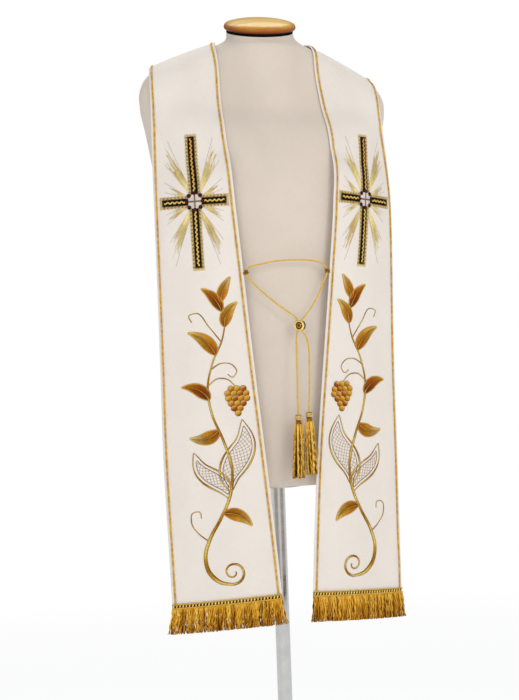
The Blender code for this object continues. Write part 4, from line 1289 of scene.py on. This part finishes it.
def cord_routes():
    """Route of each stretch, as in the part's source; the tails end on top of the tassels."""
    right_ring, left_ring = ring_middle(-1), ring_middle(1)
    right_hole, left_hole = hole_middle(-1), hole_middle(1)
    start, clear, out = (np.array([0, 0, height])
                         for height in (GAP / 2, HOLE_CLEAR, HOLE_CLEAR + CORD_RADIUS))
    loop = [right_hole + start, right_hole + clear, right_hole + out,
            (8.4, -121.8, 1082.4), (-4, -121.6, 1091.6), (-26, -121, 1108.4), (-50, -120, 1129.8),
            (-62, -118.8, 1142), (-69.4, -117.5, 1152.2),
            right_ring,
            (-66.8, -118.2, 1165.4), (-58, -120.2, 1168.6), (-45, -122, 1171.2),
            (-18, -124, 1175.6), (14, -124, 1176.6), (44, -122, 1174.4), (57, -119.8, 1171.2),
            (64.4, -118, 1166),
            left_ring,
            (66.4, -117.6, 1151.6), (60.6, -118.8, 1140), (53.4, -120.4, 1125.4),
            (44.6, -122.6, 1109.6), (34, -125, 1094.4), (23.4, -127.2, 1082.8),
            left_hole + out, left_hole + clear, left_hole + start]
    right_end, left_end = (np.array(TASSEL_TOP[label]) + (0, 0, GAP) for label in SIDES)
    right_tail = [right_hole - start, right_hole - clear, right_hole - out,
                  (9.6, -122, 1050), (8.7, -122.6, 1030), (8.5, -122.8, 1000), (8, -122.4, 960),
                  right_end]
    left_tail = [left_hole - start, left_hole - clear, left_hole - out,
                 (23.4, -127, 1051.4), (27.6, -125.4, 1040), (29.6, -123.8, 1026),
                 (29.8, -122.4, 1000), (28.6, -121.4, 960), left_end]
    return {"tie_loop": loop, "tie_tail_right": right_tail, "tie_tail_left": left_tail}


def build_tie_cord(gold):
    """The three stretches of the tie cord, each a three-strand twist.

    The tails run on inside the tassels."""
    for name, route in cord_routes().items():
        path = smooth_route(route, CORD_STATION)
        label = name.split("_")[-1]
        if label in SIDES:
            further = path[-1] + np.array([[0, 0, -1.0]]) * np.arange(1, TAIL_INSIDE)[:, None]
            path = np.concatenate([path, further])
        points, faces, colours = twisted(path, carried_up(path, (0, -1, 0.01)), CORD_RADIUS,
                                         TIE_PITCH, sides=7, bright=(0.88, 0.62, 0.13),
                                         deep=DEEP_GOLD)
        piece = add_piece(f"gold_{name}", points, faces, gold, "gold_thread", colours)
        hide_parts(name)
        length = float(lengths(path)[-1]) * MM


def build_rings(gold):
    """Loops of thread sewn to the inner edges, which hold the cord there."""
    turn = np.linspace(0, 2 * math.pi, 60)
    roll = np.linspace(0, 2 * math.pi * 3.5, 90)
    for label, side in SIDES.items():
        middle = ring_middle(side)
        # The ring, its stitches and the whipping are dark gold, partly their thread's own colour
        # and partly painted shade round the cord.
        parts = [twisted(middle + polar(RING_RADIUS, turn), np.tile((0.0, 0.0, 1.0), (60, 1)),
                         1.0, 2.4, sides=5, bright=DEEP_GOLD)]
        routes = []                     # two stitches to the cloth, and a whipping round the cord
        for knot in (-1, 1):
            root = band_points(side, np.array([RING_RUN + 2.6 * knot]), np.array([0.015]))[0]
            stitch = smooth_route([root, (root + middle) / 2 + (0, -1.2, 0.6 * knot),
                                   middle + (middle - root) * 0.2 + (0, 0, 1.0 * knot)], 0.6)
            routes.append((stitch, 0.9, DEEP_GOLD))
        coil = middle + polar(CORD_RADIUS + 0.85, roll, np.linspace(-4.0, 4.0, 90))
        routes.append((coil, 0.85, gilding(0.3)))
        for route, radius, bright in routes:
            parts.append(twisted(route, carried_up(route, (0, 0, 1.0)), radius, 2.0, sides=5,
                                 bright=bright))
        piece = add_joined(f"thread_ring_{label}", parts, gold, "gold_thread")
        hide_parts(f"cord_ring_{label}")


def build_slider(brass, garnet):
    """Turned bead with two upright holes, rings on its near face and a garnet at its middle."""
    profile = [(0, -3.5), (1.7, -3.5), (2.3, -4.8), (3.8, -4.8), (4.6, -3.4), (5.4, -3.4),
               (6.4, -5.0), (8.3, -5.0), (9.25, -3.7), (9.25, -1.2), (8.0, 0.2), (8.0, 1.6),
               (8.95, 2.4), (8.95, 4.2), (8.0, 5.0), (0, 5.0)]
    points, faces = turned(rounded(profile, 0.55), 72)
    bead = add_piece("slider_bead", points, faces, brass, "gilt_metal")
    spin = Matrix.Rotation(-SLIDER_TURN, 4, "Z") @ Matrix.Rotation(math.radians(-90), 4, "X")
    place = Matrix.Translation(Vector(SLIDER_AT) * MM) @ spin
    bead.data.transform(place)
    cutters = []
    for label, side in SIDES.items():
        points, faces = turned([(0, -15), (HOLE_RADIUS, -15), (HOLE_RADIUS, 15), (0, 15)], 32)
        cutter = add_piece(f"bore_{label}", points + hole_middle(side), faces, brass, "gilt_metal")
        cut = bead.modifiers.new(cutter.name, "BOOLEAN")
        cut.object, cut.operation = cutter, "DIFFERENCE"
        cutters.append(cutter)
    shape = bpy.data.meshes.new_from_object(
        bead.evaluated_get(bpy.context.evaluated_depsgraph_get()))
    bead.modifiers.clear()
    bead.data = shape
    shape.shade_smooth()
    shape.set_sharp_from_angle(angle=math.radians(42))
    for cutter in cutters:
        bpy.data.objects.remove(cutter)
    # Painted shade: dark in the hollows, by the radius on the near face, and dark over the back,
    # by the depth on the side.
    spots = np.empty(len(shape.vertices) * 3)
    shape.vertices.foreach_get("co", spots)
    back = np.array(place.inverted())
    spots = spots.reshape(-1, 3) @ back[:3, :3].T + back[:3, 3]
    reach, depth = np.hypot(spots[:, 0], spots[:, 1]) / MM, spots[:, 2] / MM
    tone_and_painted_shade = np.where(depth < -3.0, np.interp(reach, (2.2, 3.0, 4.2, 4.7, 5.5, 6.3),
                                            (0.10, 0.6, 0.45, 0.08, 0.12, 1.0)),
                    np.interp(depth, (-3.0, -1.2, 0.0, 1.4, 2.6, 4.4),
                              (1, 0.9, 0.10, 0.05, 0.14, 0.3)))
    tint = np.ones((len(tone_and_painted_shade), 4))
    tint[:, :3] = tone_and_painted_shade[:, None] ** np.array([1.0, 1.25, 1.5])
    shape.attributes.new("colour", "FLOAT_COLOR", "POINT").data.foreach_set("color", tint.ravel())
    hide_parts("cord_slider")
    outline = [(0, -3.45), (1.5, -3.45), (1.45, -3.9), (0.8, -4.4), (0, -4.5)]
    points, faces = turned(rounded(outline, 0.3), 40)
    stone = add_piece("slider_stone", points, faces, garnet, "gilt_metal")
    stone.data.transform(place)


def tassel_head(top):
    """Parts of the head and the bulb under it, with cord wound round the head and the neck."""
    points, faces = turned(rounded(
        [(0, 0), (4.2, -0.1), (5.4, -1.2), (5.6, -3.6), (5.5, -6.6), (4.6, -8.2), (3.9, -9.2),
         (3.9, -11.8), (5.2, -13.4), (6.0, -17.0), (6.0, -24.0), (4.0, -40.0), (0, -40.2)],
        1.6), 48)
    # The turned core is painted dark, as the shade where it shows between the wraps and the yarns.
    parts = [(points + top, faces, plain(DEEP_GOLD, points) * 0.6)]
    for start, end, radii, thick, bright in (
            (-0.5, -7.9, (4.6, 5.7, 5.8, 5.0), 0.66, STRAW),
            (-9.0, -12.2, (4.2, 4.1, 4.1, 4.4), 0.62, DEEP_GOLD)):
        turns = round((start - end) / 1.15)
        roll = np.linspace(0, 2 * math.pi * turns, 36 * turns)
        share = np.linspace(0, 1, len(roll))
        coil = polar(np.interp(share, (0, 0.25, 0.7, 1), radii), roll,
                     start + (end - start) * share)
        parts.append(twisted(coil + top, carried_up(coil, (0, 0, 1.0)), thick, 1.9, strands=2,
                             sides=5, bright=bright, deep=np.array(bright) * 0.8))
    return parts


def tassel_yarns(label, top, draw):
    """Crimped yarns that run over the bulb and hang in uneven locks, with painted shade between
    the locks and on the inner yarns.
    """
    flare, lean = TASSEL_FLARE[label], TASSEL_LEAN[label]
    count, locks = TASSEL_YARNS, TASSEL_LOCKS
    lock = draw.integers(0, locks, count)
    layer = draw.random(count) ** 0.45
    heart = 2 * math.pi * (lock + 0.25 * np.sin(lock * 5.0 + lean)) / locks
    angle = heart + draw.normal(0, 0.30, count) * 2 * math.pi / locks
    t = np.linspace(0, 1, TASSEL_STATIONS)
    closing = angle[:, None] - (angle - heart)[:, None] * 0.30 * ease(0.1, 0.6, t)
    closing = closing + 0.10 * np.sin(2.2 * math.pi * t + lock[:, None] * 2.4) * t
    wide = np.interp(t, (0, 0.05, 0.13, 0.22, 0.45, 1.0), (4.3, 6.4, 7.7, 7.9, 8.8, flare))
    reach = wide[None, :] * (0.42 + 0.58 * layer[:, None])
    waves = 5.5 + 2.0 * draw.random((count, 1))
    phase = draw.random((count, 1)) * 2 * math.pi
    wave = 0.75 * np.sin(2 * math.pi * waves * t + phase) * ease(0.12, 0.35, t)
    drop = (TASSEL_DROP + 20.0 - YARN_FROM) * (0.97 + 0.045 * draw.random((count, 1)))
    drift = lean * t**1.3
    swing = wave / np.maximum(reach, 1)
    paths = polar(reach + wave * 0.6, closing + swing, -YARN_FROM - drop * t) * (1, 0.94, 1)
    paths[..., 0] += drift
    radii = np.repeat(0.62 + 0.22 * draw.random((count, 1)), len(t), axis=1)
    radii = radii * np.interp(t, (0, 0.1), (0.7, 1.0))
    points, faces = strands(paths + top, radii)
    gap = np.abs(angle - heart) * locks / (2 * math.pi)
    ripple = np.sin(2 * math.pi * waves * t + phase + 1.0) * ease(0.12, 0.3, t)
    # Painted shade on the inner yarns and between the locks, and painted gleams along each crimp,
    # over a random tone for each yarn.
    tone = (0.02 + 0.92 * layer[:, None] - 1.1 * gap[:, None] * ease(0.1, 0.3, t)
            + 0.22 * draw.normal(0, 1, (count, 1)) + 0.38 * ripple)
    tint = (gilding(np.clip(tone, 0, 1)) * (1.04, 1.02, 0.95)).reshape(-1, 3)
    return points, faces, np.repeat(tint, 3, axis=0)


def tassel_strays(label, top):
    """A few fine threads that have worked loose and bow out at the side."""
    t = np.linspace(0, 1, TASSEL_STATIONS)
    loose = np.array([4.0, 6.0, 7.5])[:, None]
    bow = TASSEL_FLARE[label] * 0.8 + loose * np.sin(math.pi * t**1.5)
    paths = polar(bow, np.array([[0.25], [-0.2], [-0.6]]),
                  -0.5 * TASSEL_DROP - (0.42 * TASSEL_DROP + loose) * t) + top
    points, faces = strands(paths, np.full((3, len(t)), 0.3))
    return points, faces, plain(GOLD, points)


def build_tassel(label, gold, draw):
    """Bound head, pinched neck, and a flaring skirt of yarns with a few strays."""
    top = np.array(TASSEL_TOP[label])
    parts = tassel_head(top) + [tassel_yarns(label, top, draw), tassel_strays(label, top)]
    piece = add_joined(f"gold_tassel_{label}", parts, gold, "gold_thread")
    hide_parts(f"tassel_{label}")
    return piece


# ---- dress form and stand ----------------------------------------------------------------------
def build_form(jersey):
    """Covered torso and neck, the part's own surface made fine, up to the slanted neck top."""
    sides, rows = 150, 120
    share = np.linspace(0, 1, rows + 1)
    heights = FORM_BOTTOM + (FORM_TOP - FORM_BOTTOM) * (1 - (1 - share) ** 1.35)
    turn, height = np.meshgrid(circle(sides), heights)
    around = polar(1.0, turn)
    facing = np.array([-math.sin(NECK_TURN), -math.cos(NECK_TURN), 0])
    beside = np.array([math.cos(NECK_TURN), -math.sin(NECK_TURN), 0])
    downhill = facing * math.cos(NECK_SLANT) + np.array([0, 0, -math.sin(NECK_SLANT)])
    top = np.array(NECK_TOP_AT) + RIM_RADIUS * ((around @ beside)[..., None] * beside
                                                + (around @ facing)[..., None] * downhill)
    rise = np.clip((height - NECK_LEVEL) / (FORM_TOP - NECK_LEVEL), 0, 1)
    height = np.where(rise > 0, NECK_LEVEL + (top[..., 2] - NECK_LEVEL) * rise, height)
    rings = around * form_radius(turn, height)[..., None]
    rings[..., 2] = height
    rings = tilted(rings)
    share = ease(0, 1, rise)[..., None]
    rings[..., :2] = rings[..., :2] * (1 - share) + top[..., :2] * share
    rings[-1, :, 2] = top[-1, :, 2]
    low = rings[0] * (0.985, 0.985, 1)
    low[:, 2] = FORM_BOTTOM
    rings[0, :, 2] += 1.5
    points = np.concatenate([low, rings.reshape(-1, 3)])
    caps = [np.arange(sides)[None, ::-1], ((rows + 1) * sides + np.arange(sides))[None, :]]
    reach = np.hypot(points[:, 0], points[:, 1])
    lay = np.stack([np.arctan2(points[:, 1], points[:, 0]) * reach, points[:, 2],
                    np.zeros(len(points))], axis=-1)
    piece = add_piece("form_cover", points, [grid_faces(rows + 2, sides, wrap=True),
                                             np.concatenate(caps)], jersey, "form_jersey", lay=lay)
    piece.data.set_sharp_from_angle(angle=math.radians(50))
    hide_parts("form_torso")


def build_neck_cap(wood, felt):
    """Turned beech cap on a felt rim, leaning as the neck's top does."""
    lean = Matrix.Rotation(-NECK_TURN, 4, "Z") @ Matrix.Rotation(NECK_SLANT, 4, "X")
    place = Matrix.Translation(Vector(NECK_TOP_AT) * MM) @ lean
    rim = [(0, GAP), (RIM_RADIUS, GAP), (RIM_RADIUS, RIM_HEIGHT), (0, RIM_HEIGHT)]
    bottom = RIM_HEIGHT + 2 * GAP
    shape = [(0, 0), (CAP_RADIUS - 5.5, 0), (CAP_RADIUS - 2.4, 0.03), (CAP_RADIUS - 0.6, 0.12),
             (CAP_RADIUS, 0.245), (CAP_RADIUS - 0.3, 0.36), (CAP_RADIUS - 1.2, 0.47),
             (CAP_RADIUS - 2.9, 0.56), (CAP_RADIUS - 6, 0.65), (CAP_RADIUS - 13, 0.76),
             (CAP_RADIUS - 22, 0.86), (CAP_RADIUS - 33, 0.945), (CAP_RADIUS - 46, 0.99), (0, 1)]
    cap = [(radius, bottom + share * CAP_HEIGHT) for radius, share in shape]
    for name, profile, look, slot, node in (
            ("felt_rim", rounded(rim, 0.8), felt, "dark_felt", "neck_rim"),
            ("beech_cap", rounded(cap, 4.0), wood, "beech", "neck_cap")):
        points, faces = turned(profile, 144)
        # Painted shade: the cap darker towards its foot.
        share, *tints = zip(*CAP_PAINTED_SHADE)
        painted_shade = rows_at((points[:, 2] - bottom) / CAP_HEIGHT, share, np.transpose(tints))
        piece = add_piece(name, points, faces, look, slot, painted_shade)
        piece.data.set_sharp_from_angle(angle=math.radians(50))
        piece.data.transform(place)
        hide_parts(node)


def build_stand(wood, steel):
    """Round beech base and the pole with its flange and plate."""
    base = [(0, 0), (BASE_RADIUS - 1, 0), (BASE_RADIUS, 3), (BASE_RADIUS, BASE_THICK - 6),
            (BASE_RADIUS - 2, BASE_THICK - 2), (BASE_RADIUS - 7, BASE_THICK), (0, BASE_THICK)]
    foot, head = BASE_THICK + GAP, FORM_BOTTOM - GAP
    pole = [(0, foot), (FOOT_FLANGE, foot), (FOOT_FLANGE, foot + PLATE_THICK),
            (POLE_RADIUS + 5, foot + PLATE_THICK), (POLE_RADIUS, foot + PLATE_THICK + 8),
            (POLE_RADIUS, head - PLATE_THICK), (HEAD_PLATE, head - PLATE_THICK),
            (HEAD_PLATE, head), (0, head)]
    for name, profile, look, slot, node, sides in (
            ("beech_base", rounded(base, 3.0), wood, "beech", "form_base", 192),
            ("steel_pole", rounded(pole, 1.0), steel, "steel", "form_pole", 96)):
        points, faces = turned(profile, sides)
        # Painted shade: the base darker towards the floor.
        painted_shade = np.interp(points[:, 2], (0, 4, BASE_THICK), (0.35, 0.6, 0.85))
        piece = add_piece(name, points, faces, look, slot, np.repeat(painted_shade[:, None], 3, axis=1))
        piece.data.set_sharp_from_angle(angle=math.radians(35))
        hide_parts(node)


# ---- stage, light and camera -------------------------------------------------------------------
CAMERA_AT = (-0.7012, -2.6685, 1.030)
CAMERA_AHEAD = Vector((0.2462, 0.9692, 0.0))
CAMERA_RIGHT = Vector((0.9686, -0.2461, -0.0361))
CAMERA_LENS = 82.29


def build_stage():
    """Pale floor, even white surroundings and soft lamps from the front and the side."""
    mesh = bpy.data.meshes.new("floor")
    reach = 30.0
    mesh.from_pydata([(-reach, -reach, 0), (reach, -reach, 0), (reach, reach, 0),
                      (-reach, reach, 0)], [], [(0, 1, 2, 3)])
    look = Look("floor_finish", Roughness=0.9, Specular_IOR_Level=0.0,
                Emission_Color=(1, 1, 1, 1))
    # The floor glows up to white from 1 m to 4 m off, so no edge of it shows.
    away = look.add("VectorMath", {0: look.add("NewGeometry").outputs["Position"]},
                    operation="LENGTH").outputs["Value"]
    look.vary("Base Color", look.tinted((1, 1, 1), look.ramp(away, 0.52, 0.0, 1.0, 4.0)))
    look.vary("Emission Strength", look.ramp(away, 0.62, 1.0, 1.0, 4.0))
    mesh.materials.append(look.material)
    floor = linked("floor", mesh)

    # White behind the object; its light is weaker from the front and above.
    world = bpy.data.worlds.new("studio")
    bpy.context.scene.world = world
    sky = Wiring(world)
    seen = sky.nodes["Background"]
    seen.inputs["Color"].default_value = (1, 1, 1, 1)
    toward = sky.add("VectorMath", {0: sky.add("TexCoord").outputs["Generated"],
                                    1: (0.0, 0.86, 0.51)}, operation="DOT_PRODUCT")
    lit = sky.add("Background", {"Color": (0.96, 0.98, 1.0, 1), "Strength": sky.ramp(
        toward.outputs["Value"], 0.54, 0.12, 0.70, 0.92)})
    mix = sky.add("MixShader", {0: sky.add("LightPath").outputs["Is Camera Ray"],
                                1: lit.outputs[0], 2: seen.outputs[0]})
    sky.feed(sky.nodes["World Output"].inputs["Surface"], mix.outputs[0])

    # Name, place, size, power and colour of each lamp, which faces the breast.
    for name, place, size, power, colour in (
            ("key", (1.3, -3.0, 2.35), (1.2, 1.2), 25, (1.0, 0.975, 0.94)),
            ("fill", (-1.6, -2.9, 2.0), (2.4, 2.4), 25, (0.97, 0.98, 1.0)),
            ("top", (0.05, 1.05, 3.3), (1.8, 0.5), 23, (1.0, 1.0, 1.0))):
        lamp = bpy.data.lights.new(name, "AREA")
        lamp.shape, lamp.energy, lamp.color = "RECTANGLE", power, colour
        lamp.size, lamp.size_y = size
        thing = linked(name, lamp)
        thing.location = place
        aim = Vector((0.0, 0.0, 1.15)) - Vector(place)
        thing.rotation_euler = aim.to_track_quat("-Z", "Y").to_euler()


def build_camera():
    """Camera at the reference view: aimed level, with 2 degrees of roll and no shift."""
    lens = bpy.data.cameras.new("camera")
    lens.lens, lens.sensor_width = CAMERA_LENS, 36.0
    camera = linked("camera", lens)
    ahead = CAMERA_AHEAD.normalized()
    right = (CAMERA_RIGHT - ahead * CAMERA_RIGHT.dot(ahead)).normalized()
    turn = Matrix([right, right.cross(ahead), -ahead]).transposed()
    camera.matrix_world = Matrix.Translation(CAMERA_AT) @ turn.to_4x4()
    bpy.context.scene.camera = camera
    bpy.context.scene.view_settings.view_transform = "Standard"


def main():
    cloth = cloth_look("ivory_cloth_finish", IVORY, 0.5, 0.12)
    jersey = cloth_look("jersey_finish", JERSEY, 0.9, 0.1, rib=True)
    gold = thread_look("gold_thread_finish", 0.3, 0.38)
    silk = thread_look("silk_thread_finish", 0.0, 0.42)
    brass = metal_look("gilt_brass", (0.95, 0.72, 0.24), 0.16, brushed=False, painted=True)
    steel = metal_look("satin_steel", (0.58, 0.58, 0.57), 0.28, brushed=True)
    wood, felt, garnet = wood_look(), felt_look(), glass_look()
    draw = np.random.default_rng(11)
    for label in SIDES:
        half = Half(label)
        fringe = build_fringe(half, gold, draw)
        stole = build_cloth(half, cloth)
        build_edge_cords(half, gold, draw)
        build_cross(half, silk, gold, draw)
        build_vine(half, silk, gold, draw)
    tassels = {label: build_tassel(label, gold, draw) for label in SIDES}
    build_tie_cord(gold)
    build_rings(gold)
    build_slider(brass, garnet)
    build_form(jersey)
    build_neck_cap(wood, felt)
    build_stand(wood, steel)
    build_stage()
    build_camera()


main()
